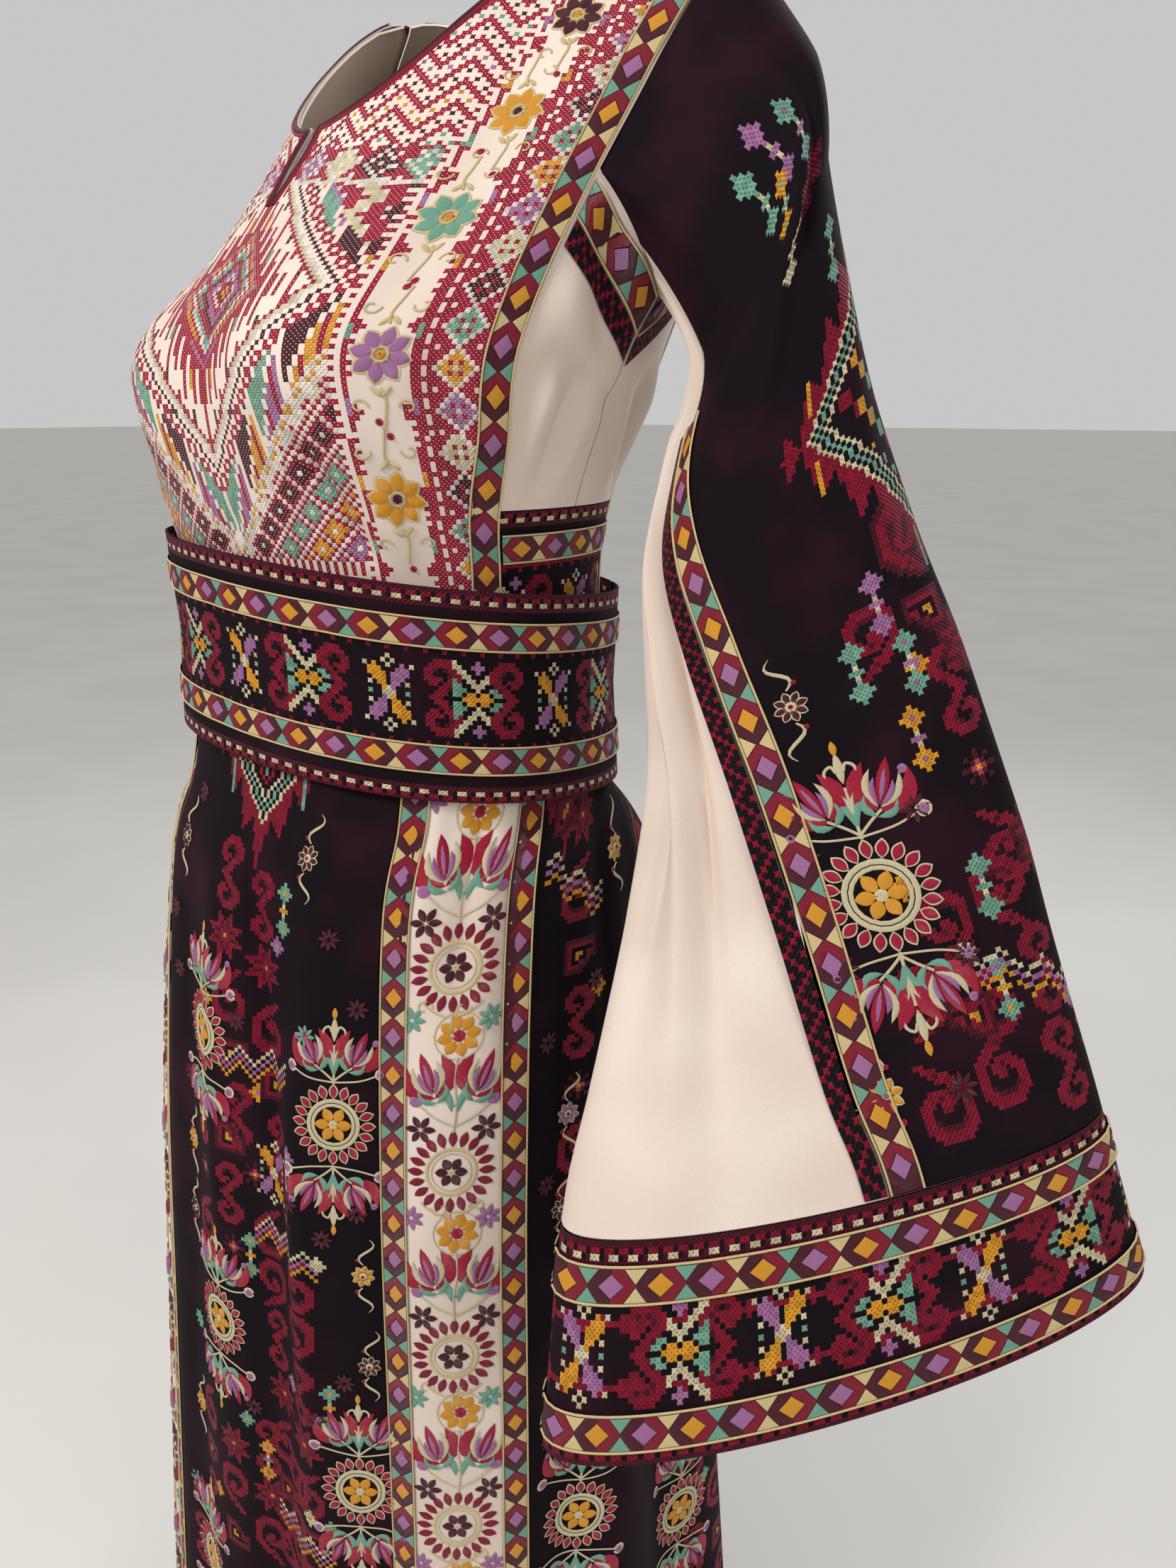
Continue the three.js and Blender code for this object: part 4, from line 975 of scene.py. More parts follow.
def cross_stitched(name, pale):
    """Cloth with a grid of cross-stitches, from the cells' UV, their colour and whether one is there."""
    sheen = {} if pale else {"Sheen_Weight": 0.07, "Sheen_Roughness": 0.35,
                             "Sheen_Tint": linear((0.62, 0.3, 0.42))}
    s = Shader(name, Roughness=0.8, Specular_IOR_Level=0.25 if pale else 0.12, **sheen)
    uv = s.node("ShaderNodeUVMap", {"uv_map": "cells"}).outputs[0]
    parts = s.node("ShaderNodeSeparateXYZ", _0=uv)
    u, v = parts.outputs[0], parts.outputs[1]
    fu, fv = s.math("FRACT", u), s.math("FRACT", v)
    one = s.math("ABSOLUTE", s.math("SUBTRACT", fu, fv))
    other = s.math("ABSOLUTE", s.math("SUBTRACT", s.math("ADD", fu, fv), 1.0))
    near = s.math("MINIMUM", one, other)
    there = s.attribute("stitched", "Fac")
    cover = s.math("MULTIPLY", s.ramp(near, 0.30, 0.46, 1.0, 0.0), there)
    ridge = s.math("MULTIPLY", s.ramp(near, 0.0, 0.42, 1.0, 0.0), there)
    whole = s.node("ShaderNodeVectorMath", {"operation": "FLOOR"}, _0=uv).outputs[0]
    chance = s.node("ShaderNodeTexWhiteNoise", {"noise_dimensions": "2D"}, Vector=whole).outputs[0]
    thread = s.attribute("thread", "Color")
    thread = s.blend(s.ramp(chance, 0, 1, 0.0, 0.3), thread, BLACK)
    ground, grain = weave(s, pale)
    colour = s.blend(cover, ground, thread)
    normal = s.bump(grain, 0.0004, 0.35 if pale else 0.5)
    return s.finish(colour, s.bump(ridge, 0.0011, 0.8, normal), s.ramp(cover, 0, 1, 0.85, 0.52))


def satin_thread():
    s = Shader("satin_stitch", Roughness=0.45, Specular_IOR_Level=0.35)
    uv = s.node("ShaderNodeUVMap", {"uv_map": "threads"}).outputs[0]
    along = s.node("ShaderNodeSeparateXYZ", _0=uv).outputs[0]
    wave = s.math("SINE", s.math("MULTIPLY", along, 12.0))
    thread = s.attribute("thread", "Color")
    shade = s.ramp(wave, -1, 1, 0.28, 0.0)
    colour = s.blend(shade, thread, BLACK)
    rough = s.ramp(s.noise(700, 2), 0.3, 0.7, 0.38, 0.55)
    return s.finish(colour, s.bump(wave, 0.0003, 0.6), rough)


def plain_crepe():
    s = Shader("ivory_crepe", Roughness=0.8, Specular_IOR_Level=0.25, Sheen_Weight=0.12,
               Sheen_Roughness=0.5)
    colour, grain = weave(s, True)
    return s.finish(colour, s.bump(grain, 0.0004, 0.5))


def gold_wire():
    s = Shader("gold_wire", Metallic=1.0, Roughness=0.3)
    worn = s.noise(300, 3)
    colour = s.blend(s.ramp(worn, 0.35, 0.65), linear((0.83, 0.66, 0.33)),
                     linear((0.6, 0.42, 0.2)))
    return s.finish(colour, s.bump(worn, 0.0001, 0.4), s.ramp(worn, 0.3, 0.7, 0.22, 0.42))


STITCHED_CREPE = cross_stitched("stitched_crepe", True)
STITCHED_VELVET = cross_stitched("stitched_velvet", False)
CREPE = plain_crepe()
SATIN = satin_thread()
GOLD = gold_wire()

# ---------------------------------------------------------------- pieces
made = {}


def piece(name, points, faces, material, node=None, uv=None, uv_name="cells", codes=None,
          sharp=50):
    """A mesh from millimetre points and quads, riding on the garment's one body. node is the solid
    it replaces, codes are the faces' threads, and edges over sharp degrees stay sharp."""
    mesh = bpy.data.meshes.new(name)
    mesh.vertices.add(len(points))
    mesh.vertices.foreach_set("co", (np.asarray(points) / 1000).astype(np.float32).ravel())
    faces = np.asarray(faces, np.int32)
    mesh.loops.add(faces.size)
    mesh.loops.foreach_set("vertex_index", faces.ravel())
    mesh.polygons.add(len(faces))
    mesh.polygons.foreach_set("loop_start", np.arange(0, faces.size, 4, dtype=np.int32))
    mesh.update(calc_edges=True)
    if uv is not None:
        layer = mesh.uv_layers.new(name=uv_name)
        layer.data.foreach_set("uv", np.asarray(uv, np.float32)[faces.ravel()].ravel())
    if codes is not None:
        mesh.attributes.new("thread", "FLOAT_COLOR", "FACE").data.foreach_set(
            "color", THREAD_COLOURS[codes].astype(np.float32).ravel())
        mesh.attributes.new("stitched", "FLOAT", "FACE").data.foreach_set(
            "value", (codes > 0).astype(np.float32))
    mesh.shade_smooth()
    if sharp:
        mesh.set_sharp_from_angle(angle=math.radians(sharp))
    mesh.materials.append(material)
    obj = bpy.data.objects.new(name, mesh)
    bpy.context.collection.objects.link(obj)
    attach(obj, "root")
    if node:
        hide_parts(node)
    made[name] = obj
    return obj


RIM = 1.5  # the cloth's edge is turned in this far
SLIVER = 0.12  # cells cut narrower than this are left out


def with_rim(top, low, faces):
    """Adds the thickness that shows at a sheet's open edges."""
    a, b = faces.ravel(), np.roll(faces, -1, axis=1).ravel()
    key = np.minimum(a, b).astype(np.int64) * len(top) + np.maximum(a, b)
    _, back, count = np.unique(key, return_inverse=True, return_counts=True)
    edge = count[back] == 1
    a, b = a[edge], b[edge]
    used = np.unique(np.concatenate((a, b)))
    renumber = np.full(len(top), -1)
    renumber[used] = len(top) + np.arange(len(used))
    rim = np.stack((b, a, renumber[a], renumber[b]), 1)
    return np.concatenate((top, low[used])), np.concatenate((faces, rim)), used, len(rim)


def grid_faces(rows, columns, side):
    """Quads of a grid of points; a negative side faces them the other way."""
    i, j = np.meshgrid(np.arange(columns - 1), np.arange(rows - 1))
    a = (j * columns + i).ravel()
    quads = np.stack((a, a + columns, a + columns + 1, a + 1), 1)
    return quads if side > 0 else quads[:, ::-1]


def cell_sheet(name, cloth, canvas, bounds, material, node, slit=None):
    """Cross-stitched cloth: the canvas's cells, cut to the cloth's edges. bounds are left(y), right(y),
    top(x) and bottom."""
    left, right, top, bottom = bounds
    x, y = canvas.corners()
    y = np.clip(y, top(x), bottom)
    x = np.clip(x, left(y), right(y))
    gap = False
    if slit is not None:
        opened = slit(y)
        x = np.where((opened > 0) & (np.abs(x) < opened + 8),
                     np.sign(x) * np.maximum(np.abs(x), opened + 0.35 * (np.abs(x) - CELL / 2)), x)
        gap = (canvas.i == 0) & (slit(canvas.j * CELL + CELL / 2) > 0)
    wide = np.maximum(x[:-1, 1:] - x[:-1, :-1], x[1:, 1:] - x[1:, :-1])
    tall = np.maximum(y[1:, :-1] - y[:-1, :-1], y[1:, 1:] - y[:-1, 1:])
    keep = ((wide > SLIVER) & (tall > SLIVER) & np.logical_not(gap)).ravel()
    faces = grid_faces(*x.shape, cloth.side)[keep]
    codes = canvas.codes.ravel()[keep]
    used, faces = np.unique(faces, return_inverse=True)
    faces = faces.reshape(-1, 4)
    x, y = x.ravel()[used], y.ravel()[used]
    uv = np.stack((x / CELL - 0.5, -y / CELL), 1)
    points, faces, used, added = with_rim(cloth.at(x, y), cloth.at(x, y, -RIM), faces)
    uv = np.concatenate((uv, uv[used]))
    codes = np.concatenate((codes, np.zeros(added, int)))
    return piece(name, points, faces, material, node, uv, codes=codes)


def plain_sheet(name, at, us, vs, node, side=1):
    """Plain crepe on a grid; at(u, v, lift) gives points."""
    u, v = np.meshgrid(us, vs)
    top, low = at(u, v, 0.0).reshape(-1, 3), at(u, v, -RIM).reshape(-1, 3)
    points, faces, _, _ = with_rim(top, low, grid_faces(len(vs), len(us), side))
    return piece(name, points, faces, CREPE, node)


def satin_piece(name, cloth, work, node=None):
    """The work laid on a cloth."""
    p = np.concatenate(work.parts)
    points = cloth.at(p[:, 0], p[:, 1], p[:, 2])
    faces = np.concatenate(work.faces)[:, :: cloth.side]
    return piece(name, points, faces, SATIN, node, p[:, 3:5], "threads",
                 np.concatenate(work.codes), sharp=None)


# Ribbons: a dark ground, gold cords at its edges, and satin diamonds, chevrons and hourglasses
UNIT = 24.0  # from one diamond to the next
FIELD = 7.0  # half of the width between the cords
CORD = 1.15
TRIM_LIFT = 1.0  # how far ribbons and edgings lie above their cloth


def ribbon(name, at, node, side=1):
    """at(t, w, lift) gives points along it (t from 0 to 1) and across it (w from 0 to its width)."""
    ts = np.linspace(0, 1, 401)
    c = RIBBON_WIDTH / 2
    lengths = lengths_along(at(ts, 0 * ts + c, 0 * ts))
    units = max(round(lengths[-1] / UNIT), 1)
    work = Satin(0)
    for n in range(units):
        s = n * UNIT
        for k in (-1, 1):
            for letter, a, b in (("B", s + 1, 1), ("M", s + 23, -1)):
                work.patch([(a - b, c), (a + 5 * b, c + k * FIELD), (a + 10.8 * b, c + k * FIELD),
                            (a + 10.8 * b, c + k * 5.6), (a + 4.2 * b, c)], letter)
            work.patch([(s - 5.4, c + k * FIELD), (s + 5.4, c + k * FIELD), (s, c + k * 0.8)],
                       "SD"[n % 2])
        work.patch([(s + 5.8, c), (s + 12, c + 5), (s + 18.2, c), (s + 12, c - 5)], "GL"[n % 2], 0.9)
    length = units * UNIT
    steps = np.linspace(0, length, units * 4 + 1)
    for w in (0.6, RIBBON_WIDTH - 0.6):
        work.line(np.stack((steps, 0 * steps + w), 1), CORD, "D", 1.1)
    p = np.concatenate(work.parts)
    t_at = np.interp(np.clip(p[:, 0], 0, length) / length * lengths[-1], lengths, ts)
    points = at(t_at, p[:, 1], TRIM_LIFT + 0.15 + p[:, 2])
    grid_t = np.interp(np.linspace(0, lengths[-1], units * 4 + 1), lengths, ts)
    t, w = np.meshgrid(grid_t, np.linspace(0, RIBBON_WIDTH, 3))
    ground = at(t.ravel(), w.ravel(), np.full(t.size, TRIM_LIFT))
    below = grid_faces(*t.shape, 1) + len(points)
    uv = np.concatenate((p[:, 3:5], np.stack((w.ravel(), t.ravel()), 1)))
    codes = np.concatenate((*work.codes, np.full(len(below), LETTERS.index("M"))))
    faces = np.concatenate((*work.faces, below))[:, ::side]
    return piece(name, np.concatenate((points, ground)), faces, SATIN, node, uv, "threads",
                 codes, sharp=None)


def edging(name, at, node, side=1):
    """Black edging, four stitches wide, with a crimson zigzag."""
    ts = np.linspace(0, 1, 201)
    line = at(ts, 0 * ts + EDGING_WIDTH / 2, 0 * ts)
    length = float(np.sum(np.linalg.norm(np.diff(line, axis=0), axis=1)))
    count = round(length / (EDGING_WIDTH / 4))
    t, w = np.meshgrid(np.linspace(0, 1, count + 1), np.linspace(0, EDGING_WIDTH, 5))
    i, j = np.meshgrid(np.arange(count), np.arange(4))
    codes = np.where((tri(i, 6) - j) % 3 == 0, LETTERS.index("B"), LETTERS.index("K"))
    uv = np.stack((t.ravel() * count, w.ravel() / EDGING_WIDTH * 4), 1)
    points = at(t.ravel(), w.ravel(), np.full(t.size, TRIM_LIFT))
    return piece(name, points, grid_faces(*t.shape, side), STITCHED_VELVET, node, uv,
                 codes=codes.ravel(), sharp=None)


def declare(name, width, length):
    """Works out how large a piece was cut, in metres, from its millimetre sizes and its mesh's area; the
    result is not kept.
    """
    mesh = made[name].data
    area = sum(p.area for p in mesh.polygons)
    width, length = float(width) / 1000, float(length) / 1000
    length = max(length, area / width)


# ---------------------------------------------------------------- bodice
FOOT = down_at_z(WAIST_SEAM_Z) - SEAM
BAND_TOP = down_at_z(BAND_TOP_Z)
PANEL_TOP = 0.9
SIDE_TOP = ARMHOLE_TURN + SEAM

FRONT = Cloth(bodice, creases=[
    (62, 318, 92, 402, 5, -6), (84, 300, 112, 400, 9, 4), (118, 60, 108, 330, 13, -3.5),
    (-70, 180, -30, 330, 16, -3), (20, 360, -60, 420, 8, -2.5), (140, 250, 150, 400, 10, -3),
])
BACK = Cloth(bodice, creases=[
    (180, 195, 245, 300, 11, -6), (182, 235, 250, 320, 12, 4), (190, 280, 262, 318, 9, -4),
    (205, 215, 268, 270, 9, 3),
])


def neck_drop(across, drop):
    return drop * (1 - np.minimum(np.abs(across) / NECK_HALF_WIDTH, 1) ** 2.1) ** 0.8


def slit_half(y):
    """Half of the neck slit's opening: it gapes a little above its foot."""
    share = np.clip((y - NECK_DROP_FRONT) / (SLIT_END - NECK_DROP_FRONT), 0, 1)
    return np.where(y < SLIT_END, 1.3 + 5.2 * np.sin(math.pi * (0.25 + 0.75 * share)) ** 1.2, 0)


canvas = Canvas(-200, 200, FOOT)
front_stitches(canvas)
cell_sheet("bodice_front_cloth", FRONT, canvas, (
    lambda y: -(front_edge(y) - SEAM), lambda y: front_edge(y) - SEAM,
    lambda x: neck_drop(x, NECK_DROP_FRONT) + PANEL_TOP, FOOT,
), STITCHED_CREPE, "bodice_front", slit_half)

work = Satin(0.3)
for side in (-1, 1):
    for y, letter in ((89, "M"), (149, "G"), (211, "S"), (286, "L"), (357, "G")):
        work.strip_flower(side * strip_middle(y), y, letter)
satin_piece("bodice_front_flowers", FRONT, work)


LINING_DEPTH = 1.8  # how far the linings lie inside their cloth


def front_lining(hand):
    def at(u, v, lift):
        share = hand * mix(0.035, 1, u)
        top = neck_drop(share * front_edge(0), NECK_DROP_FRONT) + 4
        down = mix(top, FOOT, v)
        return FRONT.at(share * (front_edge(down) - 1.5), down, lift - LINING_DEPTH)
    return at


for hand, name in ((1, "left"), (-1, "right")):
    plain_sheet(f"bodice_lining_{name}", front_lining(hand), np.linspace(0, 1, 31),
                np.linspace(0, 1, 61), None, hand)


def back_at(u, v, lift):
    top = neck_drop(u * back_edge(0), NECK_DROP_BACK) + PANEL_TOP
    down = mix(top, FOOT, v)
    return BACK.at(half_round(down) + u * (back_edge(down) - SEAM), down, lift)


plain_sheet("bodice_back_cloth", back_at, np.linspace(-1, 1, 61), np.linspace(0, 1, 81), "bodice_back")


STRETCH = 1.3  # armhole trims are measured down the cloth, which leans there


def side_place(share, fall, behind):
    """A side panel's place: share from the bodice's seam to the side seam, fall down the panel."""
    top = mix(SIDE_TOP, ARMHOLE_FOOT, share)
    down = mix(top, BAND_TOP - SEAM, fall)
    edge = back_edge(down) if behind else front_edge(down)
    seam = half_round(down) - quarter_round(down) if behind else quarter_round(down)
    across = mix(edge + SEAM, seam - SEAM, share)
    return (half_round(down) - across if behind else across), down


def beside_edge(behind, hand):
    """A ribbon's place: along a bodice panel's outer edge, w from its inner side."""
    def at(t, w, lift):
        down = mix(PANEL_TOP, FOOT, t)
        across = (back_edge if behind else front_edge)(down) - RIBBON_WIDTH + w
        around = half_round(down) - across if behind else across
        return (BACK if behind else FRONT).at(hand * around, down, lift)
    return at


def under_armhole(behind, hand, near):
    """A trim's place: along the armhole's slanted edge, near below it."""
    def at(t, w, lift):
        share = mix(0.035, 0.985, t)
        _, down = side_place(share, 0 * share, behind)
        down = down + near + w * STRETCH
        edge = back_edge(down) if behind else front_edge(down)
        seam = half_round(down) - quarter_round(down) if behind else quarter_round(down)
        across = mix(edge, seam, share)
        return BACK.at(hand * (half_round(down) - across if behind else across), down, lift)
    return at


SIDE_FOLDS = ((0.1, 0.55, 0.1, 7), (0.35, 0.5, 0.08, -6), (0.62, 0.42, 0.09, 7))

for hand, name in ((1, "left"), (-1, "right")):
    for behind, face in ((False, "front"), (True, "back")):
        def side_at(u, v, lift, behind=behind, hand=hand):
            across, down = side_place(u, v, behind)
            fade = smooth((v - 0.42) / 0.25) * np.sin(math.pi * v) * np.sin(math.pi * u)
            for begin, lean, width, deep in SIDE_FOLDS:
                lift = lift + deep * fade * np.exp(-(((u - begin - lean * (1 - v)) / width) ** 2))
            return BACK.at(hand * across, down, lift)

        flip = -1 if (hand < 0) != behind else 1
        steps = np.linspace(0, 1, 37)
        plain_sheet(f"side_{face}_{name}_cloth", side_at, steps, steps, f"side_{face}_{name}", flip)
        ribbon(f"ribbon_{face}_{name}_satin", beside_edge(behind, hand), f"ribbon_{face}_{name}",
               -flip)
        near = 4 if behind else 1.5
        ribbon(f"armhole_ribbon_{face}_{name}_satin", under_armhole(behind, hand, near),
               f"armhole_ribbon_{face}_{name}", flip)
        edging(f"armhole_edging_{face}_{name}_stitched",
               under_armhole(behind, hand, near + RIBBON_WIDTH * STRETCH + 0.6),
               f"armhole_edging_{face}_{name}", flip)
        declare(f"side_{face}_{name}_cloth", 95, 135)
    canvas = Canvas(-250, 250, FOOT)
    height = FOOT - BAND_TOP
    sub = Canvas(-250, 250, height + 3)
    band_stitches(sub, height)
    first = round(BAND_TOP / CELL)
    canvas.codes[first : first + sub.rows] = sub.codes[: canvas.rows - first]

    def band_place(x, y, hand=hand):
        """x runs round from the middle of the band, under the arm."""
        middle = mix(front_edge(y), half_round(y) - back_edge(y), 0.5)
        return bodice(hand * (middle + hand * x), y)

    def band_half(y):
        return (half_round(y) - back_edge(y) - front_edge(y)) / 2 - SEAM

    cell_sheet(f"waist_band_{name}_cloth", Cloth(band_place), canvas, (
        lambda y: -band_half(y), band_half, lambda x: BAND_TOP + SEAM + 0 * x, FOOT,
    ), STITCHED_VELVET, f"waist_band_{name}")

    def across_band(t, w, lift, place=Cloth(band_place), half=band_half):
        y = BAND_TOP + 13 + w
        return place.at(mix(-1, 1, t) * (half(y) - 1), y, lift)

    ribbon(f"waist_ribbon_{name}_satin", across_band, None)
    declare(f"waist_band_{name}_cloth", 200, 125)


def binding(name, node, path, cloth, tilt):
    """A rounded fold of crimson braid along a path on the cloth."""
    work = Satin(0)
    p = np.array([path(t) for t in np.linspace(0, 1, 70)])
    d = unit(np.gradient(p, axis=0))
    outward = np.stack((-d[:, 1], d[:, 0]), 1) * tilt
    for offset, width, letter in ((0, 3.0, "M"), (2.4, 2.4, "B")):
        work.line(p + outward * offset, width, letter, 1.5)
    satin_piece(name, cloth, work, node)


def neck_front(hand):
    def path(t):
        if t < 0.7:
            x = mix(NECK_HALF_WIDTH - 3, 6.5, t / 0.7)
            return hand * x, float(neck_drop(x, NECK_DROP_FRONT)) + 2.5
        y = mix(float(neck_drop(6.5, NECK_DROP_FRONT)) + 3, SLIT_END + 2, (t - 0.7) / 0.3)
        return hand * (max(float(slit_half(np.array(min(y, SLIT_END - 0.1)))), 0.6) + 1.2), y
    return path


def neck_back(t):
    x = mix(-(NECK_HALF_WIDTH - 3), NECK_HALF_WIDTH - 3, t)
    down = float(neck_drop(x, NECK_DROP_BACK)) + 2.5
    return float(half_round(down)) + x, down


binding("neck_binding_left_braid", "neck_binding_left", neck_front(1), FRONT, -1)
binding("neck_binding_right_braid", "neck_binding_right", neck_front(-1), FRONT, 1)
binding("neck_binding_back_braid", "neck_binding_back", neck_back, BACK, 1)
declare("bodice_front_cloth", 400, 490)
declare("bodice_back_cloth", 400, 490)

# ---------------------------------------------------------------- sleeves
SLEEVE_CREASES = [
    (40, 20, 60, 150, 9, -4), (75, 60, 88, 210, 10, 3.5), (-35, 60, -20, 260, 12, -4),
    (20, 150, 38, 330, 11, 3), (70, 230, 92, 470, 12, -4), (5, 300, 18, 520, 14, 3),
    (-70, 260, -80, 520, 14, -3.5), (120, 300, 150, 560, 14, 3), (40, 420, 52, 600, 10, -3),
]
SLEEVE_DIAMONDS = [
    (104, 62, "S"), (84, 56, "L"), (66, 66, "S"), (30, 152, "S"), (72, 119, "W"), (-60, 80, "L"),
    (-84, 120, "S"), (66, 352, "S"), (40, 356, "S"), (48, 392, "G"), (40, 470, "S"), (44, 521, "S"),
    (-80, 300, "G"), (92, 78, "G"), (46, 322, "L"),
]
SLEEVE_STARS = [(116, 436), (116, 494), (60, 425), (58, 500), (124, 520), (80, 560)]
UNDER_FOLDS = ((0.14, 0.1, 0.03, -9), (0.24, 0.08, 0.035, 9), (0.4, 0.02, 0.05, -11),
               (0.6, -0.06, 0.04, 10), (0.75, -0.1, 0.05, -8))

for mirrored, name in ((False, "left"), (True, "right")):
    form = SleeveCloth(mirrored)
    cloth = Cloth(form.place, 1 if mirrored else -1, SLEEVE_CREASES)
    y1 = form.y(CUFF_ROW - CUFF_GAP)
    canvas = Canvas(-260, 300, y1)
    canvas.carpet(lambda y: 24, lambda y: 26, 300, 470, 3)
    canvas.carpet(lambda y: -52, lambda y: 30, 330, y1 - 8, 5)
    canvas.carpet(lambda y: 50 + 0.12 * (y - 480), lambda y: 30 + 0.9 * max(y - 500, 0), 478,
                  y1 - 6, 8)
    canvas.stamp(EIGHT_STAR, 58, 100, outline="P")
    canvas.stamp(EIGHT_STAR, -70, 110, outline="P")
    canvas.stamp(HOOK, 27, 302, outline="P")
    canvas.stamp(HOOK, 55, 340, flip_x=True)
    for x, y, swap in SLEEVE_DIAMONDS:
        canvas.stamp(DIAMONDS, x, y, swap={"S": swap, "G": "LGSW"[int(x + y) % 4]})
    serrated(canvas, -22, 228, 38)
    canvas.stamp(EIGHT_STAR, 4, 356, outline="P")
    canvas.stamp(EIGHT_STAR, 2, 458, outline="P")
    canvas.stamp(L_BLOCK, 66, 530)
    zigzag_band(canvas, 0, 62, 533, -0.5)
    cell_sheet(f"sleeve_{name}_cloth", cloth, canvas, (
        lambda y: -form.pale(-1, y) + 0.6, lambda y: form.pale(1, y) - 0.6, lambda x: 0 * x, y1,
    ), STITCHED_VELVET, f"sleeve_{name}")
    work = Satin(0.4)
    for side in (1, -1):
        narrow = min(1, float(form.pale(side, 462)) / 127)
        tight = narrow < 1  # the right sleeve's velvet is too narrow for the left one's places
        work.spray(side * 88 * narrow - side * 10 * tight, 462, -0.02 * side, 0.93 * narrow)
        work.sprig(side * 99 * narrow, 357, "M", 0.85 * narrow)
        work.sprig(side * 116 * narrow - side * 12 * tight, 556, "G", 0.85 * narrow)
        for x, y in SLEEVE_STARS:
            work.rays(side * (x - 30 * tight), y, 8, "P")
    satin_piece(f"sleeve_{name}_flowers", cloth, work)

    def under_at(u, v, lift, form=form, cloth=cloth):
        y = mix(0.0, form.y(CUFF_ROW - CUFF_GAP), v)

        def reach(side, share):
            """From the inner fold, share 0, to the velvet's edge, share 1."""
            half = form.half(side, y)
            return side * half * (1 - (1 - (form.pale(side, y) + 0.8) / half) * share)

        x = np.where(u <= 0.5, reach(1, 1 - 2 * u), reach(-1, 2 * u - 1))
        for begin, lean, width, deep in UNDER_FOLDS:
            lift = lift + deep * np.sin(math.pi * v) * np.exp(-(((u - begin - lean * v) / width) ** 2))
        dv = cloth.place(x, y + NEAR) - cloth.place(x, y - NEAR)
        inside = np.where(u <= 0.5, -NEAR, NEAR)
        du = (cloth.place(x + inside, y) - cloth.place(x - inside, y)) * np.sign(inside)[..., None]
        n = unit(np.cross(dv, du) * cloth.side)
        return cloth.place(x, y) + n * np.asarray(lift)[..., None]

    us = np.concatenate((np.linspace(0, 0.5, 36), np.linspace(0.5, 1, 36)[1:]))
    plain_sheet(f"under_sleeve_{name}_cloth", under_at, us, np.linspace(0, 1, 71),
                f"under_sleeve_{name}", cloth.side)
    start, end = form.y(EASED_ROW), form.y(CUFF_ROW - 0.02)
    trims = []
    for side, face in ((1, "front"), (-1, "back")):
        def along(t, w, lift, side=side, outward=False, form=form, cloth=cloth):
            y = mix(start, end, t)
            edge = form.pale(side, y)
            x = edge + w + 0.8 if outward else edge - RIBBON_WIDTH + w - 0.6
            return cloth.at(side * x, y, lift)

        turned = cloth.side * side
        ribbon(f"sleeve_ribbon_{face}_{name}_satin", along, f"sleeve_ribbon_{face}_{name}",
               -turned)
        edging(f"sleeve_edging_{face}_{name}_stitched",
               lambda t, w, lift, along=along: along(t, w, lift, outward=True),
               f"sleeve_edging_{face}_{name}", -turned)
        trims += [f"sleeve_ribbon_{face}_{name}_satin"]
    # the cuff: a tube, whose pattern is spread evenly round it
    height = form.y(LAST_ROW) - form.y(CUFF_ROW)
    middle = form.y(CUFF_ROW + 0.5)
    halves = (float(form.half(1, middle)), float(form.half(-1, middle)))
    half = sum(halves) / 2

    def cuff_place(x, y, form=form, half=half):
        return form.turned(np.clip(x / half, -1, 1), form.y(CUFF_ROW + CUFF_GAP) + y)

    cuff = Cloth(cuff_place, cloth.side)
    canvas = Canvas(-half, half, height)
    band_stitches(canvas, height)
    cell_sheet(f"cuff_{name}_cloth", cuff, canvas, (
        lambda y: -half + 0.8 + 0 * y, lambda y: half - 0.8 + 0 * y, lambda x: 0 * x, height,
    ), STITCHED_VELVET, f"cuff_{name}")

    def lining_at(u, v, lift, cuff=cuff, half=half, height=height):
        return cuff.at(mix(-half + 1, half - 1, u), mix(1.0, height - 1, v), lift - LINING_DEPTH)

    plain_sheet(f"cuff_lining_{name}", lining_at, np.linspace(0, 1, 61), np.linspace(0, 1, 9), None,
                cuff.side)
    for place, near in (("upper", 0.1), ("lower", 0.76)):
        def round_cuff(t, w, lift, cuff=cuff, near=near, half=half, height=height):
            return cuff.at(mix(-half + 1, half - 1, t), near * height + w * 0.95, lift)

        ribbon(f"cuff_ribbon_{place}_{name}_satin", round_cuff, f"cuff_ribbon_{place}_{name}",
               cuff.side)
    ys = np.linspace(0, y1, 60)
    velvet_round = form.pale(1, ys) + form.pale(-1, ys)
    pale_round = form.half(1, ys) + form.half(-1, ys) - velvet_round
    sleeve_length = 1.08 * y1  # the cut is longer at its edges than down its fold
    declare(f"sleeve_{name}_cloth", velvet_round.max(), sleeve_length)
    declare(f"under_sleeve_{name}_cloth", pale_round.max(), sleeve_length)
    declare(f"cuff_{name}_cloth", 2 * half, height)

# ---------------------------------------------------------------- skirt
SKIRT_CREASES = [
    (5, 60, 30, 300, 7, -4), (-30, 90, -20, 380, 10, 3), (45, 180, 70, 520, 9, 4),
    (150, 20, 150, 170, 8, -3), (175, 10, 185, 240, 9, -3.5), (120, 10, 128, 150, 7, 2.5),
    (240, 20, 262, 260, 10, -4), (282, 30, 318, 330, 11, 4), (-150, 20, -155, 180, 8, -3),
    (-250, 20, -275, 300, 10, -4), (350, 60, 420, 400, 12, 4), (-330, 40, -380, 360, 12, -4),
]
SKIRT_CLOTH = Cloth(skirt, creases=SKIRT_CREASES)
PANEL_WIDTH = 91


def fall(y):
    return y / SKIRT_LENGTH


def floral_inner(y):
    return mix(98, 137, fall(y))


def floral_outer(y):
    return floral_inner(y) + PANEL_WIDTH


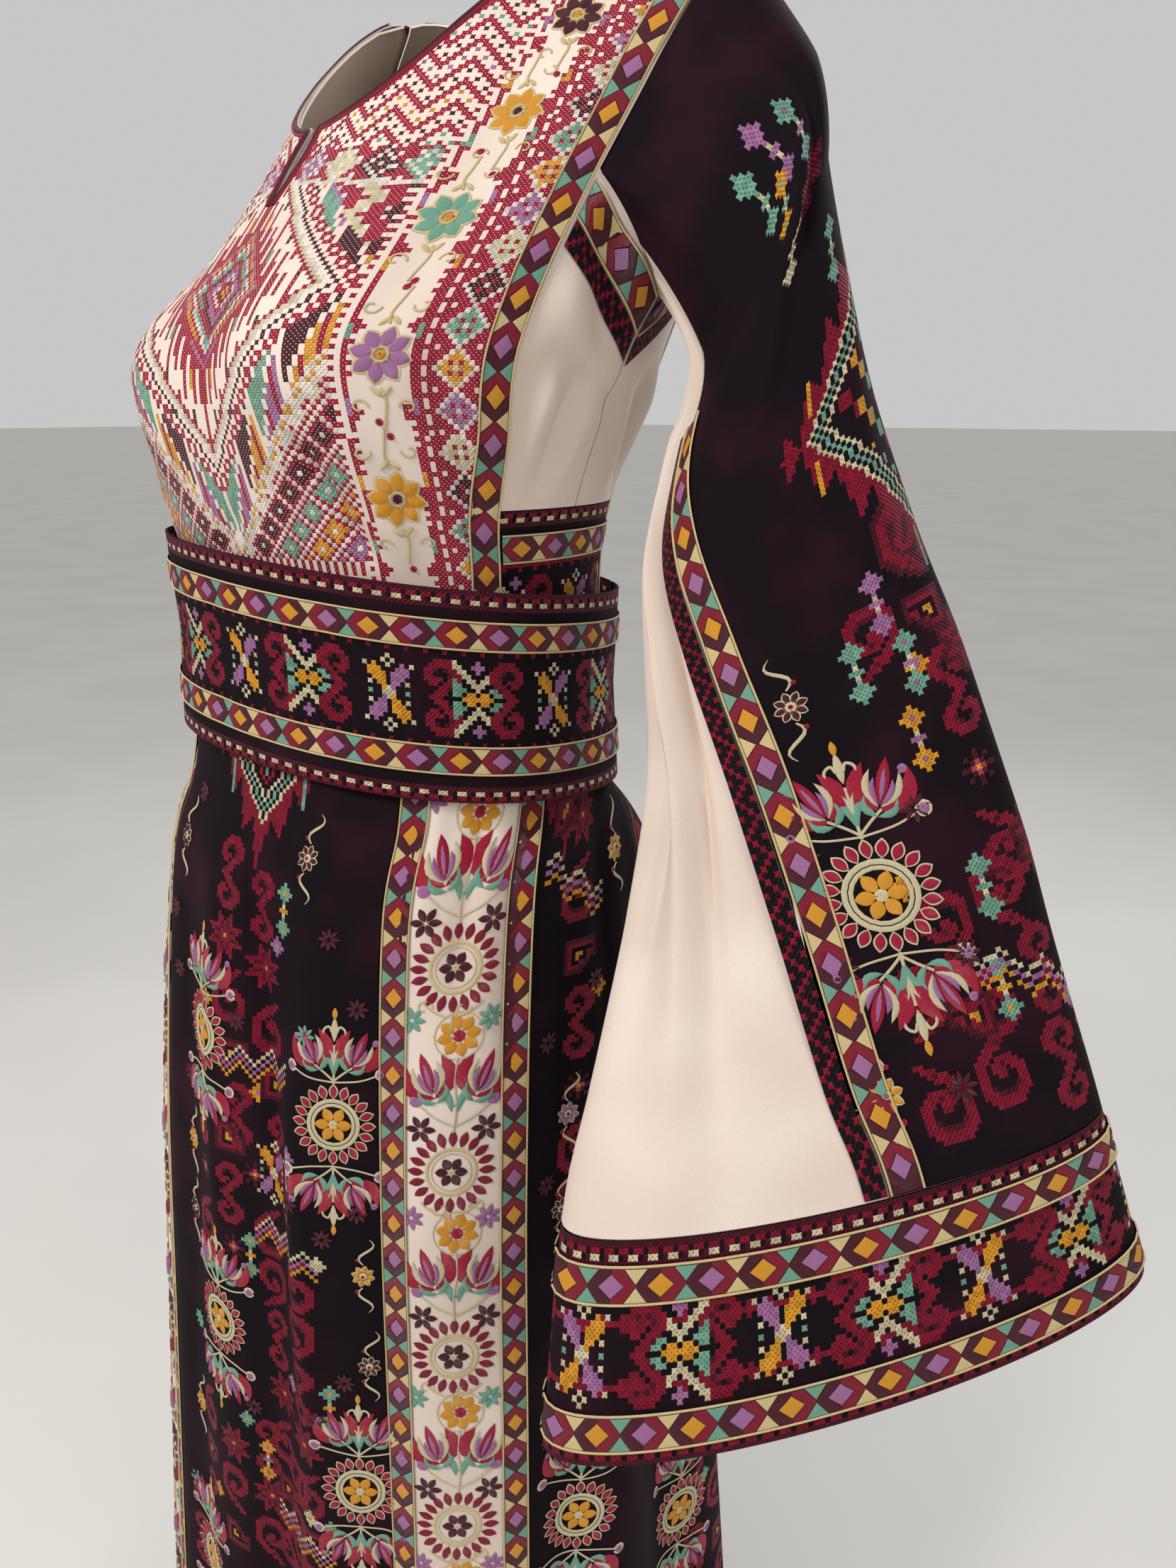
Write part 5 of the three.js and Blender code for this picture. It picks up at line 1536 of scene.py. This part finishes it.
def back_middle(y):
    return skirt_half(WAIST_SEAM_Z - y)


def back_start(y):
    return back_middle(y) - mix(118, 190, fall(y))


def skirt_sheet(name, left, right, paint, x0, x1):
    canvas = Canvas(x0, x1, SKIRT_LENGTH)
    paint(canvas)
    cell_sheet(f"{name}_cloth", SKIRT_CLOTH, canvas, (
        lambda y: left(y) + SEAM, lambda y: right(y) - SEAM, lambda x: 0 * x + SEAM, SKIRT_LENGTH,
    ), STITCHED_VELVET, name)


COLUMN_AT = ((60, 125, 263, 341, 533, 960), (8, 0, 14, 40, 48, 40))


def column(y):
    """The middle of the dense column on the skirt's front."""
    return float(np.interp(y, *COLUMN_AT))


def paint_front(canvas):
    canvas.carpet(lambda y: column(y) - 14, lambda y: 22, 96, 970, 1)
    canvas.carpet(lambda y: column(y) + 16, lambda y: 20, 112, 970, 9)
    canvas.carpet(lambda y: -22, lambda y: 30, 262, 356, 5)
    canvas.carpet(lambda y: 0, lambda y: 66, 498, 590, 3)
    canvas.carpet(lambda y: 0, lambda y: 66, 800, 890, 6)
    canvas.carpet(lambda y: -62, lambda y: 34, 600, 970, 4)
    canvas.carpet(lambda y: 98, lambda y: 20, 620, 970, 7)
    serrated(canvas, 9, 12, 22)
    for y in (215, 330, 545, 760):
        zigzag_band(canvas, column(y) - 26, column(y) + 34, y)
    for y in (285, 620, 860):
        canvas.stamp(BELT_STAR, column(y) + 4, y)
    for n in range(11):
        x = column(110 + 80 * n) + 34 * (-1) ** n
        canvas.stamp(DIAMONDS, x, 110 + 80 * n, swap={"S": "SGLS"[n % 4], "G": "GLWG"[n % 4]})
    for n in range(5):
        canvas.stamp(SAGE_STAR, -84 + 36 * n, 590 + 70 * ((n * 3) % 5), swap={"S": "SGL"[n % 3]})


def paint_side(hand):
    def paint(canvas):
        serrated(canvas, hand * 214, 22, 18)
        canvas.carpet(lambda y: hand * mix(226, 262, fall(y)), lambda y: 18, 66, 400, 2)
        canvas.carpet(lambda y: hand * mix(228, 285, fall(y)), lambda y: 24, 600, 970, 2)
        canvas.stamp(L_BLOCK, hand * 212, 62)
        zigzag_band(canvas, *sorted((hand * 200, hand * 250)), 86, 0.6)
        canvas.carpet(lambda y: hand * mix(330, 470, fall(y)), lambda y: 30 + 0.05 * y, 60, 970, 6)
    return paint


def paint_back(canvas):
    canvas.carpet(lambda y: float(back_middle(y)), lambda y: 34 + 0.05 * y, 40, 960, 5)
    for n in range(9):
        y = 100 + 100 * n
        for side in (-1, 1):
            x = float(back_middle(y)) + side * (60 + 0.09 * y)
            canvas.stamp(SAGE_STAR if n % 3 == 2 else SMALL_STAR, x, y)


skirt_sheet("skirt_front", lambda y: -floral_inner(y), floral_inner, paint_front, -140, 140)
skirt_sheet("skirt_side_left", floral_outer, back_start, paint_side(1), 180, 620)
skirt_sheet("skirt_side_right", lambda y: -back_start(y), lambda y: -floral_outer(y), paint_side(-1),
            -620, -180)
skirt_sheet("skirt_back", back_start, lambda y: 2 * back_middle(y) - back_start(y), paint_back, 240,
            1000)

# sprays, flowers with tendrils, and small stars, as places on the skirt
SPRAYS = {
    "skirt_front": [(-36, 206), (80, 233), (-26, 413), (98, 490), (-58, 640), (112, 742), (-66, 862)],
    "skirt_side": [(246, 524), (292, 210), (300, 760), (318, 400), (360, 600), (372, 900)],
}
SPRIGS = {
    "skirt_front": [(50, 77, "M"), (-62, 296, "G"), (-64, 350, "M"), (-70, 512, "G"), (100, 332, "G"),
                    (104, 396, "M"), (-74, 90, "M"), (106, 610, "M")],
    "skirt_side": [(228, 239, "L"), (226, 300, "M"), (262, 90, "G"), (250, 420, "G"), (300, 650, "M")],
}
STARS = {
    "skirt_front": [(-60, 60), (-84, 140), (-78, 180), (72, 120), (92, 160), (60, 180), (-2, 190),
                    (-66, 250), (52, 290), (74, 310), (96, 290), (-66, 440), (4, 470), (70, 440),
                    (88, 410), (84, 560)],
    "skirt_side": [(210, 190), (244, 160), (214, 280), (240, 350), (222, 460), (276, 480), (230, 590)],
}


def flowered(name, kind, hand=1):
    work = Satin(0.4)
    for n, (x, y) in enumerate(SPRAYS[kind]):
        work.spray(hand * x, y, 0.02 * (-1) ** n, 0.84)
    for x, y, letter in SPRIGS[kind]:
        work.sprig(hand * x, y, letter, 0.72)
    for n, (x, y) in enumerate(STARS[kind]):
        work.rays(hand * x, y, 7, "S" if n % 6 == 5 else "P")
    satin_piece(f"{name}_flowers", SKIRT_CLOTH, work)


flowered("skirt_front", "skirt_front")
flowered("skirt_side_left", "skirt_side")
flowered("skirt_side_right", "skirt_side", -1)

REPEAT = 124  # of the flowers on the floral panels
FIRST_FLOWER = 50

for hand, name in ((1, "left"), (-1, "right")):
    def panel_at(u, v, lift, hand=hand):
        y = mix(SEAM, SKIRT_LENGTH, v)
        x = mix(floral_inner(y) + SEAM, floral_outer(y) - SEAM, u)
        return SKIRT_CLOTH.at(hand * x, y, lift)

    plain_sheet(f"floral_panel_{name}_cloth", panel_at, np.linspace(0, 1, 31),
                np.linspace(0, 1, 260), f"floral_panel_{name}", hand)
    work = Satin(0.3)
    for n, y in enumerate(np.arange(FIRST_FLOWER - REPEAT, SKIRT_LENGTH, REPEAT)):
        x = floral_inner(y + 60) + PANEL_WIDTH / 2
        work.ivory_repeat(hand * x, y, 1 if n % 2 else -1, "LS"[n % 2])
    kept = Satin(0.3)  # what lies wholly on the panel
    for part, faces, codes in zip(work.parts, work.faces, work.codes):
        if part[:, 1].min() > 1 and part[:, 1].max() < SKIRT_LENGTH - 1:
            kept.parts.append(part)
            kept.faces.append(faces - faces.min() + kept.count)
            kept.codes.append(codes)
            kept.count += len(part)
    satin_piece(f"floral_panel_{name}_flowers", SKIRT_CLOTH, kept)
    for place, begin in (("inner", lambda y: floral_inner(y) + 0.6),
                         ("outer", lambda y: floral_outer(y) - RIBBON_WIDTH - 0.6)):
        def down_panel(t, w, lift, hand=hand, begin=begin):
            y = mix(2.0, SKIRT_LENGTH - 1, t)
            return SKIRT_CLOTH.at(hand * (begin(y) + w), y, lift)

        ribbon(f"skirt_ribbon_{place}_{name}_satin", down_panel, f"skirt_ribbon_{place}_{name}",
               -hand)
    declare(f"floral_panel_{name}_cloth", 91, 985)
declare("skirt_front_cloth", 280, 985)
for name in ("left", "right"):
    declare(f"skirt_side_{name}_cloth", 400, 990)
declare("skirt_back_cloth", 390, 990)

# ---------------------------------------------------------------- belt
BELT = Cloth(belt, creases=[(-30, 0, -22, 121, 12, -1.2), (60, 0, 66, 121, 10, -1.0)])
belt_left = BELT_JOIN + 2.5 - BELT_ROUND
belt_right = BELT_JOIN - 2.5
canvas = Canvas(belt_left, belt_right, BELT_HEIGHT)
band_stitches(canvas, BELT_HEIGHT)
cell_sheet("belt_cloth", BELT, canvas, (
    lambda y: belt_left + 0 * y, lambda y: belt_right + 0 * y, lambda x: 0 * x, BELT_HEIGHT,
), STITCHED_VELVET, "belt")
for place, near in (("upper", 0.135), ("lower", 0.725)):
    def round_belt(t, w, lift, near=near):
        return BELT.at(mix(belt_left + 1, belt_right - 1, t), near * BELT_HEIGHT + w, lift)

    ribbon(f"belt_ribbon_{place}_satin", round_belt, f"belt_ribbon_{place}")
declare("belt_cloth", BELT_ROUND - 5, BELT_HEIGHT)

for n, up in enumerate((53, 0, -53)):
    y = BELT_HEIGHT / 2 - up
    t = np.linspace(0, 1, 17)
    xs = BELT_JOIN + mix(-8, 8, t)
    points = BELT.place(xs, y + 0 * xs)
    out = unit(points[8] - (0, -4, points[8][2]))
    path = points + out * (1.5 + 2.6 * np.sin(math.pi * t))[:, None]
    ahead = unit(np.gradient(path, axis=0))
    a = unit(np.cross(ahead, (0, 0, 1.0)))
    b = np.cross(ahead, a)
    turns = np.linspace(0, 2 * math.pi, 13)
    tube = np.array([path + 0.8 * (a * math.cos(q) + b * math.sin(q)) for q in turns])
    piece(f"belt_hook_{n + 1}_wire", tube.reshape(-1, 3), grid_faces(13, 17, 1), GOLD,
          f"belt_hook_{n + 1}", sharp=None)

# ---------------------------------------------------------------- floor and light
floor_z = HEM_Z / 1000 - 0.003
FAR = 60
floor_mesh = bpy.data.meshes.new("floor")
floor_mesh.from_pydata([(-FAR, -FAR, floor_z), (FAR, -FAR, floor_z), (FAR, FAR, floor_z),
                        (-FAR, FAR, floor_z)], [], [(0, 1, 2, 3)])
floor_mesh.shade_smooth()
floor = bpy.data.objects.new("floor", floor_mesh)
bpy.context.collection.objects.link(floor)
paint = Shader("floor_paint", Roughness=0.9)
cloud = paint.ramp(paint.noise(2.0, 3), 0.3, 0.7)
floor_mesh.materials.append(paint.finish(paint.blend(cloud, linear((0.86, 0.85, 0.83)),
                                                     linear((0.84, 0.83, 0.81)))))


def area_light(name, at, target, size, power, colour):
    data = bpy.data.lights.new(name, "AREA")
    data.shape, data.size, data.energy, data.color = "DISK", size, power, colour
    obj = bpy.data.objects.new(name, data)
    obj.location = at
    obj.rotation_euler = (Vector(target) - Vector(at)).to_track_quat("-Z", "Y").to_euler()
    bpy.context.collection.objects.link(obj)


area_light("key", (-0.4, -1.9, 1.1), (0, 0, -0.4), 0.8, 46, (1.0, 0.96, 0.92))
area_light("fill", (2.2, -0.7, 0.5), (0.1, 0, -0.5), 1.4, 13, (1.0, 0.97, 0.95))
area_light("rim", (0.3, 2.0, 1.2), (0, 0, -0.4), 1.5, 30, (0.95, 0.97, 1.0))
world = bpy.data.worlds.new("studio")
world.use_nodes = True
background = world.node_tree.nodes["Background"]
background.inputs["Color"].default_value = (0.82, 0.82, 0.82, 1)
background.inputs["Strength"].default_value = 0.7
bpy.context.scene.world = world
bpy.context.scene.view_settings.view_transform = "Standard"
